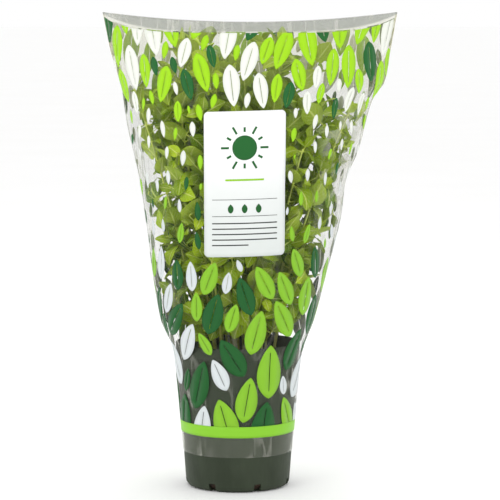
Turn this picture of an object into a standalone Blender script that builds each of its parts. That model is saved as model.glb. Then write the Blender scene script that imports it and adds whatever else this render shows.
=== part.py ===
"""Oregano growing in a nursery pot, in a clear tapered sleeve that is open at both ends.

Metres, +Z up. The origin is on the floor under the middle of the pot, and -Y is the front.
"""

import math
import random
from bisect import bisect_right
from dataclasses import dataclass

import bmesh
import bpy
import numpy as np
from mathutils import Matrix, Vector
from mathutils.bvhtree import BVHTree

OBJECT_NAME = "potted_oregano"
GAP = 0.0003  # air between pieces that touch
SIDES = 32  # flats round the pot and the sleeve, the same in both so that they nest

# Pot: a thin moulded tub with a collar at the rim, a rounded foot and drain slots in that corner
POT_HEIGHT = 0.122
POT_FOOT_RADIUS = 0.0436  # the outer wall, carried down to the floor
POT_FLARE = 0.0732  # growth of the outer radius with height
POT_WALL = 0.0012
POT_CORNER = 0.0052
CORNER_STEPS = 2
COLLAR_HEIGHT = 0.0103
COLLAR_RADIUS = 0.0523
DRAIN_SLOTS = 7
DRAIN_WIDTH = 0.0062
DRAIN_TOP = 0.0068
DRAIN_DEPTH = 0.014  # from the inner end of a slot's cutter to its outer end
FIRST_DRAIN_ANGLE = math.radians(22.5)  # from the front towards +X

# Compost: fills the pot, with a lumpy top and a plain hole for each stem
COMPOST_SIDES = 24
COMPOST_TOP = 0.108
COMPOST_GAP = 0.0006
COMPOST_RINGS = (0.018, 0.034)
LUMP_HEIGHT = 0.0022
LUMP_WAVES = (95.0, 143.0)  # radians per metre, along X and Y
HOLE_DEPTH = 0.010
HOLE_RADIUS = 0.0022
HOLE_SIDES = 5

# Sleeve: a film cone, measured at its outer face as (height, value)
FILM_WALL = 0.0007
FILM_FOOT = 0.030
FILM_TOP = 0.3993
MOUTH_SAG = 0.0083  # how far the top edge dips between its two corners
LEFT_EDGE = (
    (0.030, -0.0468), (0.106, -0.0537), (0.120, -0.0563), (0.131, -0.0615), (0.141, -0.0657),
    (0.174, -0.0715), (0.208, -0.0756), (0.259, -0.0830), (0.301, -0.0925), (0.334, -0.0977),
    (0.3674, -0.1068), (0.3993, -0.1133),
)
RIGHT_EDGE = (
    (0.030, 0.0468), (0.106, 0.0537), (0.120, 0.0570), (0.131, 0.0612), (0.141, 0.0652),
    (0.174, 0.0738), (0.225, 0.0871), (0.259, 0.0920), (0.284, 0.1020), (0.326, 0.1136),
    (0.341, 0.1235), (0.3674, 0.1284), (0.3993, 0.1341),
)
HALF_DEPTH = (
    (0.030, 0.0468), (0.106, 0.0537), (0.123, 0.0565), (0.150, 0.0590), (0.190, 0.0620),
    (0.240, 0.0650), (0.300, 0.0670), (0.350, 0.0660), (0.3993, 0.0640),
)
SEAM_PINCH = ((0.030, 0.0), (0.120, 0.0), (0.170, 0.15), (0.250, 0.35), (0.3993, 0.65))
FILM_RINGS = (0.0675, 0.106, 0.120, 0.131, 0.141, 0.174, 0.210, 0.259, 0.290, 0.326, 0.341, 0.368)

# Leafy stems: square stems with opposite pairs of leaves, each pair a quarter turn on from the last
STEMS = 30
SEED = 3807
GOLDEN_ANGLE = math.radians(137.508)
FOOT_SPREAD = 0.0355
TIP_SPREAD = 0.93  # share of the sleeve's half width that the outermost tips reach
TIP_JITTER = 0.007
HEAD_TOP = 0.366
HEAD_SHOULDER = 0.038  # how much lower the outermost tips stand than the middle ones
TIP_DROPS = (0.0, 0.062, 0.022, 0.108, 0.044)  # below the head's top, in turn
OUTER_LIFT = 0.7  # how much of its drop an outermost stem is spared
TALL_STEM = 5
TALL_TIP = (-0.027, -0.030, 0.371)
STEM_LEAN = 1.35  # stems start upright and lean more towards the tip
STEM_SWAY = 0.0045
STEM_FOOT_RADIUS = 0.00135
STEM_TIP_RADIUS = 0.0010
STEM_RINGS = 5  # cross sections of the part that leans
STEM_FREE = COMPOST_TOP + LUMP_HEIGHT + 0.001  # where a stem starts to lean
BURIED_SHARE = 0.05  # share of a stem's template that stands upright in its hole
FIRST_PAIR = 0.30  # share of a stem's height where its first pair of leaves grows
LOWEST_PAIR = 0.138
PAIR_PITCH = 0.027

# Leaves: pointed ovals on short stalks, arched and slightly cupped
LEAF_LENGTH = 0.042
LEAF_HALF_WIDTH = 0.30  # of the leaf's length
LEAF_STALK = 0.16  # share of the length that is stalk
STALK_HALF_WIDTH = 0.0005
UPRIGHT = ((0.75, 1.25), (0.10, 0.80))  # ranges of rise from the stem and of droop along the blade, radians
HANGING = ((-0.35, 0.50), (0.50, 1.40))
LEAF_THICKNESS = 0.00095
LEAF_STATIONS = (LEAF_STALK, 0.40, 0.72)
LEAF_TRIES = 24
LEAF_ROOT = 0.0003  # from the stem's axis
LEAF_AIR = 0.0005  # least air between a leaf and its neighbours
FILM_AIR = 0.0019  # least air between the plant and the film's outer face
LEAF_FLOOR = 0.126  # leaves stay above the pot's rim
LEAF_CEILING = 0.3895  # and below the sleeve's mouth

OLIVE_PLASTIC = ((0.047, 0.060, 0.036, 1.0), 0.55)
DARK_COMPOST = ((0.020, 0.013, 0.008, 1.0), 0.95)
CLEAR_FILM = ((0.80, 0.82, 0.79, 0.35), 0.18)
OREGANO_GREEN = ((0.150, 0.270, 0.030, 1.0), 0.60)


def eased(points, height):
    """Value at a height on the smooth curve through (height, value) points."""
    index = bisect_right([point[0] for point in points], height) - 1
    index = min(max(index, 0), len(points) - 2)

    def slope(i):
        before = points[max(i - 1, 0)]
        after = points[min(i + 1, len(points) - 1)]
        return (after[1] - before[1]) / (after[0] - before[0])

    (low, start), (high, end) = points[index], points[index + 1]
    span = high - low
    t = min(max((height - low) / span, 0.0), 1.0)
    start_part = start * (1 + 2 * t) * (1 - t) ** 2 + slope(index) * span * t * (1 - t) ** 2
    end_part = end * (3 - 2 * t) * t**2 - slope(index + 1) * span * (1 - t) * t**2
    return start_part + end_part


def film_section(height):
    """Middle, half width, half depth and seam pinch of the sleeve at a height."""
    left = eased(LEFT_EDGE, height)
    right = eased(RIGHT_EDGE, height)
    pinch = max(eased(SEAM_PINCH, height), 0.0)
    return (left + right) / 2, (right - left) / 2, eased(HALF_DEPTH, height), pinch


def film_point(angle, height):
    """Point of the sleeve's outer face, at an angle from +X and a height."""
    middle, half_width, half_depth, pinch = film_section(height)
    side = math.sin(angle)
    return Vector((
        middle + half_width * math.cos(angle),
        half_depth * side * abs(side) ** pinch,
        height,
    ))


def inside_film(point):
    """Whether a point is inside the sleeve and clear of its wall."""
    middle, half_width, half_depth, pinch = film_section(point.z)
    across = abs(point.x - middle) / (half_width - FILM_AIR)
    if across >= 1.0:
        return False
    return abs(point.y) <= half_depth * (1 - across**2) ** ((1 + pinch) / 2) - FILM_AIR


def pot_radius(height):
    """Radius of the pot's outer wall at a height."""
    return POT_FOOT_RADIUS + POT_FLARE * height


def compost_height(x, y):
    """Height of the compost's lumpy top."""
    return COMPOST_TOP + LUMP_HEIGHT * math.sin(LUMP_WAVES[0] * x + 1.0) * math.cos(LUMP_WAVES[1] * y)


def make_material(name, finish, metallic=0.0):
    """Principled material from a base colour with alpha and a roughness."""
    colour, roughness = finish
    material = bpy.data.materials.new(name)
    material.use_nodes = True
    shader = material.node_tree.nodes["Principled BSDF"]
    shader.inputs["Base Color"].default_value = colour
    shader.inputs["Roughness"].default_value = roughness
    shader.inputs["Metallic"].default_value = metallic
    shader.inputs["Alpha"].default_value = colour[3]
    return material


def new_collection(name):
    """Empty collection linked to the scene."""
    collection = bpy.data.collections.new(name)
    bpy.context.scene.collection.children.link(collection)
    return collection


def link_mesh(name, mesh, collection):
    """Object for a mesh, linked to a collection."""
    piece = bpy.data.objects.new(name, mesh)
    collection.objects.link(piece)
    return piece


def mesh_from(name, shape):
    """Mesh made from a bmesh, which is freed."""
    mesh = bpy.data.meshes.new(name)
    shape.to_mesh(mesh)
    shape.free()
    return mesh


def turned(name, profile, sides, collection):
    """Solid turned round Z from (radius, height) points that run down its outer side."""
    outline = bmesh.new()
    points = [outline.verts.new((radius, 0.0, height)) for radius, height in profile]
    for start, end in zip(points, points[1:]):
        outline.edges.new((start, end))
    piece = link_mesh(name, mesh_from(name, outline), collection)
    screw = piece.modifiers.new("turn", "SCREW")
    screw.steps = screw.render_steps = sides
    screw.use_merge_vertices = True
    screw.merge_threshold = 0.00001
    return piece


def frozen(piece):
    """The piece with its modifiers applied, as a new mesh on the same object."""
    bpy.context.view_layer.update()
    evaluated = piece.evaluated_get(bpy.context.evaluated_depsgraph_get())
    piece.data = bpy.data.meshes.new_from_object(evaluated)
    piece.modifiers.clear()
    return piece


def boolean_with(piece, tools, operation):
    """Cut or join every object of a collection into the piece, then remove the collection."""
    step = piece.modifiers.new(operation.lower(), "BOOLEAN")
    step.operation = operation
    step.operand_type = "COLLECTION"
    step.collection = tools
    frozen(piece)
    for tool in list(tools.objects):
        bpy.data.objects.remove(tool)
    bpy.data.collections.remove(tools)


def finish(piece, material, crease_degrees=35.0):
    """Give a piece its material and smooth shading with sharp creases."""
    piece.data.materials.clear()
    piece.data.materials.append(material)
    piece.data.shade_smooth()
    piece.data.set_sharp_from_angle(angle=math.radians(crease_degrees))


def corner_arc():
    """Points of the pot's rounded foot, from its wall down to its underside."""
    centre_radius = pot_radius(POT_CORNER) - POT_CORNER
    points = []
    for step in range(CORNER_STEPS + 1):
        turn = math.radians(90.0) * step / CORNER_STEPS
        points.append((
            centre_radius + POT_CORNER * math.cos(turn),
            POT_CORNER - POT_CORNER * math.sin(turn),
        ))
    return points


def drain_cutters(collection):
    """Boxes that cut the slots through the pot's rounded foot."""
    for slot in range(DRAIN_SLOTS):
        turn = FIRST_DRAIN_ANGLE + math.tau * slot / DRAIN_SLOTS
        bpy.ops.mesh.primitive_cube_add(size=1.0)
        cutter = bpy.context.object
        cutter.name = f"drain_cutter_{slot + 1}"
        reach = pot_radius(0.0)
        cutter.location = (reach * math.sin(turn), -reach * math.cos(turn), DRAIN_TOP / 2 - POT_WALL)
        cutter.rotation_euler = (0.0, 0.0, turn)
        cutter.scale = (DRAIN_WIDTH, DRAIN_DEPTH, DRAIN_TOP + 2 * POT_WALL)
        for owner in list(cutter.users_collection):
            owner.objects.unlink(cutter)
        collection.objects.link(cutter)
        cutter.hide_render = True
        cutter.display_type = "WIRE"


def build_pot(collection):
    """The pot: a turned tub with a collar, cut by its drain slots."""
    collar_foot = POT_HEIGHT - COLLAR_HEIGHT
    floor_edge = pot_radius(POT_CORNER) - POT_CORNER
    profile = [
        (0.0, POT_WALL),
        (floor_edge, POT_WALL),
        (pot_radius(POT_CORNER) - POT_WALL, POT_CORNER),
        (pot_radius(collar_foot) - POT_WALL, collar_foot),
        (COLLAR_RADIUS - POT_WALL, collar_foot + POT_WALL),
        (COLLAR_RADIUS - POT_WALL, POT_HEIGHT),
        (COLLAR_RADIUS, POT_HEIGHT),
        (COLLAR_RADIUS, collar_foot),
        (pot_radius(collar_foot), collar_foot),
        *corner_arc(),
        (0.0, 0.0),
    ]
    pot = frozen(turned("pot", profile, SIDES, collection))
    cutters = new_collection("pot_cutters")
    drain_cutters(cutters)
    boolean_with(pot, cutters, "DIFFERENCE")
    finish(pot, make_material("olive_plastic", OLIVE_PLASTIC))


def build_compost(collection, stems):
    """The compost: a turned plug with a lumpy top and a hole for each stem."""
    wall = POT_WALL + COMPOST_GAP
    edge_height = POT_HEIGHT - COLLAR_HEIGHT - COMPOST_GAP * 2
    edge = pot_radius(edge_height) - wall
    foot_height = POT_CORNER + COMPOST_GAP
    profile = [(0.0, COMPOST_TOP)]
    profile += [(radius, COMPOST_TOP) for radius in COMPOST_RINGS]
    profile += [
        (edge, COMPOST_TOP),
        (pot_radius(foot_height) - wall, foot_height),
        (pot_radius(POT_CORNER) - POT_CORNER - COMPOST_GAP, POT_WALL + COMPOST_GAP),
        (0.0, POT_WALL + COMPOST_GAP),
    ]
    compost = frozen(turned("compost", profile, COMPOST_SIDES, collection))
    for vertex in compost.data.vertices:
        if vertex.co.z > COMPOST_TOP - GAP:
            vertex.co.z = compost_height(vertex.co.x, vertex.co.y)
    cutters = new_collection("compost_cutters")
    for number, stem in enumerate(stems, 1):
        hole = bmesh.new()
        depth = 2 * HOLE_DEPTH
        centre = Vector((stem.foot.x, stem.foot.y, stem.foot.z - GAP + HOLE_DEPTH))
        bmesh.ops.create_cone(
            hole, cap_ends=True, segments=HOLE_SIDES, radius1=HOLE_RADIUS, radius2=HOLE_RADIUS,
            depth=depth, matrix=Matrix.Translation(centre),
        )
        link_mesh(f"hole_cutter_{number:02d}", mesh_from("hole_cutter", hole), cutters)
    boolean_with(compost, cutters, "DIFFERENCE")
    finish(compost, make_material("dark_compost", DARK_COMPOST))


def build_sleeve(collection):
    """The sleeve: a tube with rings where its outline bends, drawn out to the film's form."""
    tube = bmesh.new()
    bmesh.ops.create_cone(
        tube, cap_ends=False, segments=SIDES, radius1=1.0, radius2=1.0, depth=FILM_TOP - FILM_FOOT,
        matrix=Matrix.Translation((0.0, 0.0, (FILM_TOP + FILM_FOOT) / 2)),
    )
    for height in FILM_RINGS:
        bmesh.ops.bisect_plane(
            tube, geom=tube.verts[:] + tube.edges[:] + tube.faces[:], dist=GAP / 10,
            plane_co=(0.0, 0.0, height), plane_no=(0.0, 0.0, 1.0),
        )
    for vertex in tube.verts:
        angle = math.atan2(vertex.co.y, vertex.co.x)
        point = film_point(angle, vertex.co.z)
        if vertex.co.z > FILM_TOP - GAP:
            point.z -= MOUTH_SAG * math.sin(angle) ** 2
        vertex.co = point
    sleeve = link_mesh("sleeve", mesh_from("sleeve", tube), collection)
    wall = sleeve.modifiers.new("wall", "SOLIDIFY")
    wall.thickness = FILM_WALL
    wall.offset = -1.0
    finish(sleeve, make_material("clear_film", CLEAR_FILM), 60.0)


@dataclass(frozen=True)
class Stem:
    """A stem that starts upright and leans out towards its tip."""

    foot: Vector
    tip: Vector
    sway: Vector
    turn: float

    def share(self, height):
        """How far up the free part of the stem a height lies, from 0 to 1."""
        return max((height - STEM_FREE) / (self.tip.z - STEM_FREE), 0.0)

    def point(self, height):
        """Point of the stem's axis at a height."""
        share = self.share(height)
        lean = (self.tip - self.foot) * share**STEM_LEAN
        bow = self.sway * math.sin(math.pi * share)
        return Vector((self.foot.x + lean.x + bow.x, self.foot.y + lean.y + bow.y, height))

    def direction(self, height):
        """Direction of growth at a height."""
        step = PAIR_PITCH / 4
        return (self.point(height + step) - self.point(height - step)).normalized()

    def radius(self, height):
        """Radius from the axis to an edge of the square stem."""
        share = min(self.share(height), 1.0)
        return STEM_FOOT_RADIUS + (STEM_TIP_RADIUS - STEM_FOOT_RADIUS) * share

    def place(self, across, through, along):
        """Point of the stem's surface, for a template bar from 0 to 1."""
        if along < BURIED_SHARE:
            height = self.foot.z + (STEM_FREE - self.foot.z) * along / BURIED_SHARE
        else:
            height = STEM_FREE + (self.tip.z - STEM_FREE) * (along - BURIED_SHARE) / (1 - BURIED_SHARE)
        reach = self.radius(height)
        offset = Vector((across * reach, through * reach, 0.0))
        offset.rotate(Matrix.Rotation(self.turn, 3, "Z"))
        return self.point(height) + offset


@dataclass(frozen=True)
class Leaf:
    """An arched leaf whose stalk starts at the stem's axis."""

    root: Vector
    outward: Vector
    upward: Vector
    length: float
    rise: float
    droop: float
    roll: float
    cup: float

    def half_width(self, along):
        """Half the width at a share of the length: a stalk, then a pointed oval."""
        share = max(along - LEAF_STALK, 0.0) / (1 - LEAF_STALK)
        oval = math.sin(math.pi * min(share, 1.0) ** 0.72)
        blade = LEAF_HALF_WIDTH * self.length * max(oval, 0.0) ** 0.8
        return max(blade, STALK_HALF_WIDTH * (along < 1.0))

    def place(self, across, through, along, swell=0.0):
        """Point of the leaf, across from rim to rim and through from its under to its upper face."""
        share = max(along - LEAF_STALK, 0.0) / (1 - LEAF_STALK)
        tilt = self.rise - self.droop * share
        arc = self.length * (1 - LEAF_STALK) / self.droop
        stalk = self.length * min(along, LEAF_STALK)
        out = stalk * math.cos(self.rise) + arc * (math.sin(self.rise) - math.sin(tilt))
        up = stalk * math.sin(self.rise) + arc * (math.cos(tilt) - math.cos(self.rise))
        spine = self.root + self.outward * out + self.upward * up
        face = self.upward * math.cos(tilt) - self.outward * math.sin(tilt)
        side = self.upward.cross(self.outward)
        turn = self.roll * share
        rim = side * math.cos(turn) + face * math.sin(turn)
        lift = face * math.cos(turn) - side * math.sin(turn)
        half = self.half_width(along)
        rise = self.cup * half * across**2 + through * (LEAF_THICKNESS / 2 + swell)
        return spine + rim * across * (half + swell) + lift * rise


def bar_template(stations, pointed, split_from=-1.0):
    """Four-sided bar of unit size along Z, with a ring at each station and its upper quads split alike."""
    bar = bmesh.new()
    bmesh.ops.create_cone(
        bar, cap_ends=True, segments=4, radius1=1.0, radius2=1.0, depth=1.0,
        matrix=Matrix.Translation((0.0, 0.0, 0.5)),
    )
    for station in stations:
        bmesh.ops.bisect_plane(
            bar, geom=bar.verts[:] + bar.edges[:] + bar.faces[:], dist=0.0001,
            plane_co=(0.0, 0.0, station), plane_no=(0.0, 0.0, 1.0),
        )
    if pointed:
        end = [vertex for vertex in bar.verts if vertex.co.z > 0.999]
        bmesh.ops.pointmerge(bar, verts=end, merge_co=(0.0, 0.0, 1.0))
    for face in list(bar.faces):
        low = min(vertex.co.z for vertex in face.verts)
        high = max(vertex.co.z for vertex in face.verts)
        if len(face.verts) == 4 and high > low > split_from:
            middle = (low + high) / 2
            spine = next(v for v in face.verts if v.co.z < middle and abs(v.co.x) < 0.5)
            rim = next(v for v in face.verts if v.co.z > middle and abs(v.co.x) > 0.5)
            bmesh.utils.face_split(face, spine, rim)
    return bar


def shaped(template, place, **options):
    """Copy of a template bar with each vertex moved to where the shape's rule puts it."""
    shape = template.copy()
    for vertex in shape.verts:
        across, through, along = vertex.co
        vertex.co = place(across, through, along, **options)
    return shape


class Crowd:
    """The stems and leaves placed so far, which a new one stays clear of."""

    def __init__(self):
        self.owners, self.trees = [], []
        self.lows, self.highs = [], []

    def add(self, owner, shape):
        """Remember a shape of one stem."""
        points = np.array([vertex.co[:] for vertex in shape.verts])
        self.owners.append(owner)
        self.trees.append(BVHTree.FromBMesh(shape))
        self.lows.append(points.min(axis=0))
        self.highs.append(points.max(axis=0))

    def is_clear(self, shape, owner=None, own=False):
        """Whether a shape touches nothing that belongs to other stems, or with own set, to this one."""
        if not self.trees:
            return True
        points = np.array([vertex.co[:] for vertex in shape.verts])
        near = np.all(np.array(self.lows) < points.max(axis=0), axis=1)
        near &= np.all(np.array(self.highs) > points.min(axis=0), axis=1)
        near &= (np.array(self.owners) == owner) == own
        if not near.any():
            return True
        tree = BVHTree.FromBMesh(shape)
        return not any(tree.overlap(self.trees[index]) for index in np.flatnonzero(near))


def grow_stems(template, crowd):
    """Place the stems from the compost to the head, each clear of the ones before."""
    draw = random.Random(SEED)
    stems = []
    while len(stems) < STEMS:
        number = len(stems)
        turn = number * GOLDEN_ANGLE
        reach = math.sqrt((number + 0.5) / STEMS)
        heading = Vector((math.cos(turn), math.sin(turn), 0.0))
        foot = heading * FOOT_SPREAD * reach
        foot.z = COMPOST_TOP - HOLE_DEPTH
        drop = TIP_DROPS[number % len(TIP_DROPS)] * (1 - OUTER_LIFT * reach**2)
        height = HEAD_TOP - HEAD_SHOULDER * reach**2 - drop + draw.uniform(-TIP_JITTER, TIP_JITTER)
        middle, half_width, half_depth, _ = film_section(height)
        spread = TIP_SPREAD * reach**0.8
        tip = Vector((
            middle + heading.x * spread * half_width + draw.uniform(-TIP_JITTER, TIP_JITTER),
            heading.y * spread * half_depth + draw.uniform(-TIP_JITTER, TIP_JITTER),
            height,
        ))
        if number == TALL_STEM:
            tip = Vector(TALL_TIP)
        sway = Vector((draw.uniform(-1, 1), draw.uniform(-1, 1), 0.0)) * STEM_SWAY
        stem = Stem(foot, tip, sway, draw.uniform(0.0, math.tau))
        shape = shaped(template, stem.place)
        if inside_film(tip) and crowd.is_clear(shape):
            crowd.add(number, shape)
            stems.append(stem)
        shape.free()
    return stems


def leaf_at(stem, height, turn, length, rise, droop, draw):
    """A leaf that leaves the stem at a height, heading off at an angle round it."""
    upward = stem.direction(height)
    outward = Vector((math.cos(turn), math.sin(turn), 0.0))
    outward = (outward - upward * outward.dot(upward)).normalized()
    return Leaf(
        root=stem.point(height) + outward * LEAF_ROOT,
        outward=outward,
        upward=upward,
        length=length,
        rise=rise,
        droop=droop,
        roll=draw.uniform(-0.9, 0.9),
        cup=draw.uniform(0.05, 0.28),
    )


def size_along(share):
    """Leaf size up a stem: small at the foot, largest low in the middle, smallest at the tip."""
    return 0.40 + 0.60 * math.sin(math.pi * min(0.30 + 0.62 * share, 1.0)) ** 0.8


def grow_leaves(stems, template, crowd):
    """Leaves of every stem, in pairs from the lowest to the tip, each clear of all the rest."""
    draw = random.Random(SEED + 1)
    leaves = [[] for _ in stems]
    for number, stem in enumerate(stems):
        first = STEM_FREE + FIRST_PAIR * (stem.tip.z - STEM_FREE)
        first = max(first, LOWEST_PAIR) + draw.uniform(0.0, PAIR_PITCH / 2)
        pairs = max(round((stem.tip.z - first) / PAIR_PITCH), 2)
        for pair in range(pairs + 1):
            share = pair / pairs
            height = first + (stem.tip.z - STEM_TIP_RADIUS * 2 - first) * share
            for side in range(2):
                leaf = find_leaf(stem, number, height, share, pair, side, template, crowd, draw)
                if leaf is not None:
                    leaves[number].append(leaf)
    return leaves


def find_leaf(stem, number, height, share, pair, side, template, crowd, draw):
    """The first of several tries at a leaf that is clear of everything, or None."""
    for attempt in range(LEAF_TRIES):
        loose = attempt / LEAF_TRIES
        turn = stem.turn + math.pi / 4 + math.pi * side + math.pi / 2 * pair
        turn += draw.uniform(-1, 1) * (0.15 + 0.9 * loose)
        length = LEAF_LENGTH * size_along(share) * (1 - 0.40 * loose) * draw.uniform(0.88, 1.06)
        posture = UPRIGHT if draw.random() < 0.35 + 0.4 * share else HANGING
        rise, droop = draw.uniform(*posture[0]), draw.uniform(*posture[1])
        leaf = leaf_at(stem, height, turn, length, rise, droop, draw)
        shape = shaped(template, leaf.place, swell=LEAF_AIR)
        held = all(inside_film(v.co) and LEAF_FLOOR < v.co.z < LEAF_CEILING for v in shape.verts)
        clear = held and crowd.is_clear(shape, number)
        if clear:
            blade = [v for v in shape.verts if (v.co - leaf.root).length < LEAF_ROOT * 9]
            bmesh.ops.delete(shape, geom=blade, context="VERTS")
            clear = crowd.is_clear(shape, number, own=True)
        shape.free()
        if clear:
            placed = shaped(template, leaf.place)
            crowd.add(number, placed)
            placed.free()
            return leaf
    return None


def build_stem(name, stem, leaves, templates, collection, material):
    """One leafy stem: a square stem with its leaves fused on."""
    piece = link_mesh(name, mesh_from(name, shaped(templates["stem"], stem.place)), collection)
    blades = new_collection("blades")
    for leaf in leaves:
        link_mesh("blade", mesh_from("blade", shaped(templates["leaf"], leaf.place)), blades)
    boolean_with(piece, blades, "UNION")
    finish(piece, material)


def main():
    """Build every piece of the potted plant."""
    for old in list(bpy.data.objects):
        bpy.data.objects.remove(old)
    collection = new_collection(OBJECT_NAME)
    free_share = (1 - BURIED_SHARE) / (STEM_RINGS + 1)
    stem_stations = [BURIED_SHARE + free_share * ring for ring in range(STEM_RINGS + 1)]
    templates = {
        "stem": bar_template(stem_stations, pointed=False),
        "leaf": bar_template(LEAF_STATIONS, pointed=True, split_from=LEAF_STALK / 2),
    }
    crowd = Crowd()
    stems = grow_stems(templates["stem"], crowd)
    leaves = grow_leaves(stems, templates["leaf"], crowd)
    build_pot(collection)
    build_compost(collection, stems)
    build_sleeve(collection)
    green = make_material("oregano_green", OREGANO_GREEN)
    for number, stem in enumerate(stems):
        build_stem(f"stem_{number + 1:02d}", stem, leaves[number], templates, collection, green)
    for template in templates.values():
        template.free()


main()
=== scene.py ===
"""Looks of a potted oregano plant in its printed film sleeve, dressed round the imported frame.

Metres, +Z up. The origin is on the floor under the middle of the pot, and -Y is the front.
"""

from __future__ import annotations

import sys

import logging
import math
import random
from bisect import bisect_right
from dataclasses import dataclass, field, replace
from enum import Enum
from typing import Callable, Iterable, Sequence

import bmesh
import bpy
import numpy as np
from mathutils import Matrix, Vector, noise
from mathutils.bvhtree import BVHTree


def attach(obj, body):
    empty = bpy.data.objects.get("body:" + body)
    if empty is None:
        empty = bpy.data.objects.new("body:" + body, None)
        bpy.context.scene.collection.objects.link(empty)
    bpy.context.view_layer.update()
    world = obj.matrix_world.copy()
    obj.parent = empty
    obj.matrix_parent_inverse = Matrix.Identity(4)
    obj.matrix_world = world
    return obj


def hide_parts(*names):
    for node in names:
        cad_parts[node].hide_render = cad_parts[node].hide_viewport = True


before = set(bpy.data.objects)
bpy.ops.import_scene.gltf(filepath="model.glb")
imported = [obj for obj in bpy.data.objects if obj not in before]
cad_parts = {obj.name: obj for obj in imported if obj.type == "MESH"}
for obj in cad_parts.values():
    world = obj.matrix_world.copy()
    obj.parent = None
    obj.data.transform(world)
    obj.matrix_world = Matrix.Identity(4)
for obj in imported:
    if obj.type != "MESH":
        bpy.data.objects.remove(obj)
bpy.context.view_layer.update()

log = logging.getLogger("potted_oregano")

Pair = tuple[float, float]
Curve = tuple[Pair, ...]
Box = tuple[float, float, float, float]
Colour = tuple[float, float, float, float]
Socket = bpy.types.NodeSocket

MM = 0.001
BAND_LOW = 0.0470  # lower edge of the lime band
BAND_HIGH = 0.0565  # its upper edge, where the printed leaves begin
PRINT_TOP = 0.3825  # where the print ends, in the middle of the sleeve
CORNER_RISE = 0.0125  # how much higher it ends at the sleeve's corners
MOUTH_MIDDLE = 0.0104  # of the sleeve's mouth, across
MOUTH_HALF_WIDTH = 0.1180
INK_THICKNESS = 0.00005
GRAIN_TO_MOTTLE = 9.0  # how much finer the grain is than the mottle
LEAF_STALK = 0.16  # share of a leaf's length that is stalk
SIDE_VEINS = 6.5  # side veins along a leaf
VEIN_LEAN = 0.34  # how far they run up the leaf on their way to its rim
VEIN_CURVE = 0.8
BURIED_SHARE = 0.05  # share of a stem's bar that stands upright in its hole
PAIR_PITCH = 0.027  # height from one pair of leaves to the next


def screen_colour(code: str) -> Colour:
    """Linear colour of a screen colour.

    Args:
        code: The screen colour as six hexadecimal digits.

    Returns:
        Red, green, blue and alpha, linear.
    """
    parts = [int(code[i:i + 2], 16) / 255 for i in (0, 2, 4)]
    red, green, blue = (
        ((part + 0.055) / 1.055) ** 2.4 if part > 0.04045 else part / 12.92 for part in parts
    )
    return red, green, blue, 1.0


def eased(points: Curve, height: float) -> float:
    """Value at a height on the smooth curve through (height, value) points.

    Args:
        points: The points, from the lowest to the highest.
        height: Where the curve is read.

    Returns:
        The curve's value there, held at its ends.
    """
    index = bisect_right([point[0] for point in points], height) - 1
    index = min(max(index, 0), len(points) - 2)

    def slope(i: int) -> float:
        """Slope of the curve at one of its points."""
        before = points[max(i - 1, 0)]
        after = points[min(i + 1, len(points) - 1)]
        return (after[1] - before[1]) / (after[0] - before[0])

    (low, start), (high, end) = points[index], points[index + 1]
    span = high - low
    t = min(max((height - low) / span, 0.0), 1.0)
    start_part = start * (1 + 2 * t) * (1 - t) ** 2 + slope(index) * span * t * (1 - t) ** 2
    end_part = end * (3 - 2 * t) * t**2 - slope(index + 1) * span * (1 - t) * t**2
    return start_part + end_part


def straight(points: Curve, height: float) -> float:
    """Value at a height on the straight lines through (height, value) points."""
    return float(np.interp(height, [point[0] for point in points], [point[1] for point in points]))


# shader nodes


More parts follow.
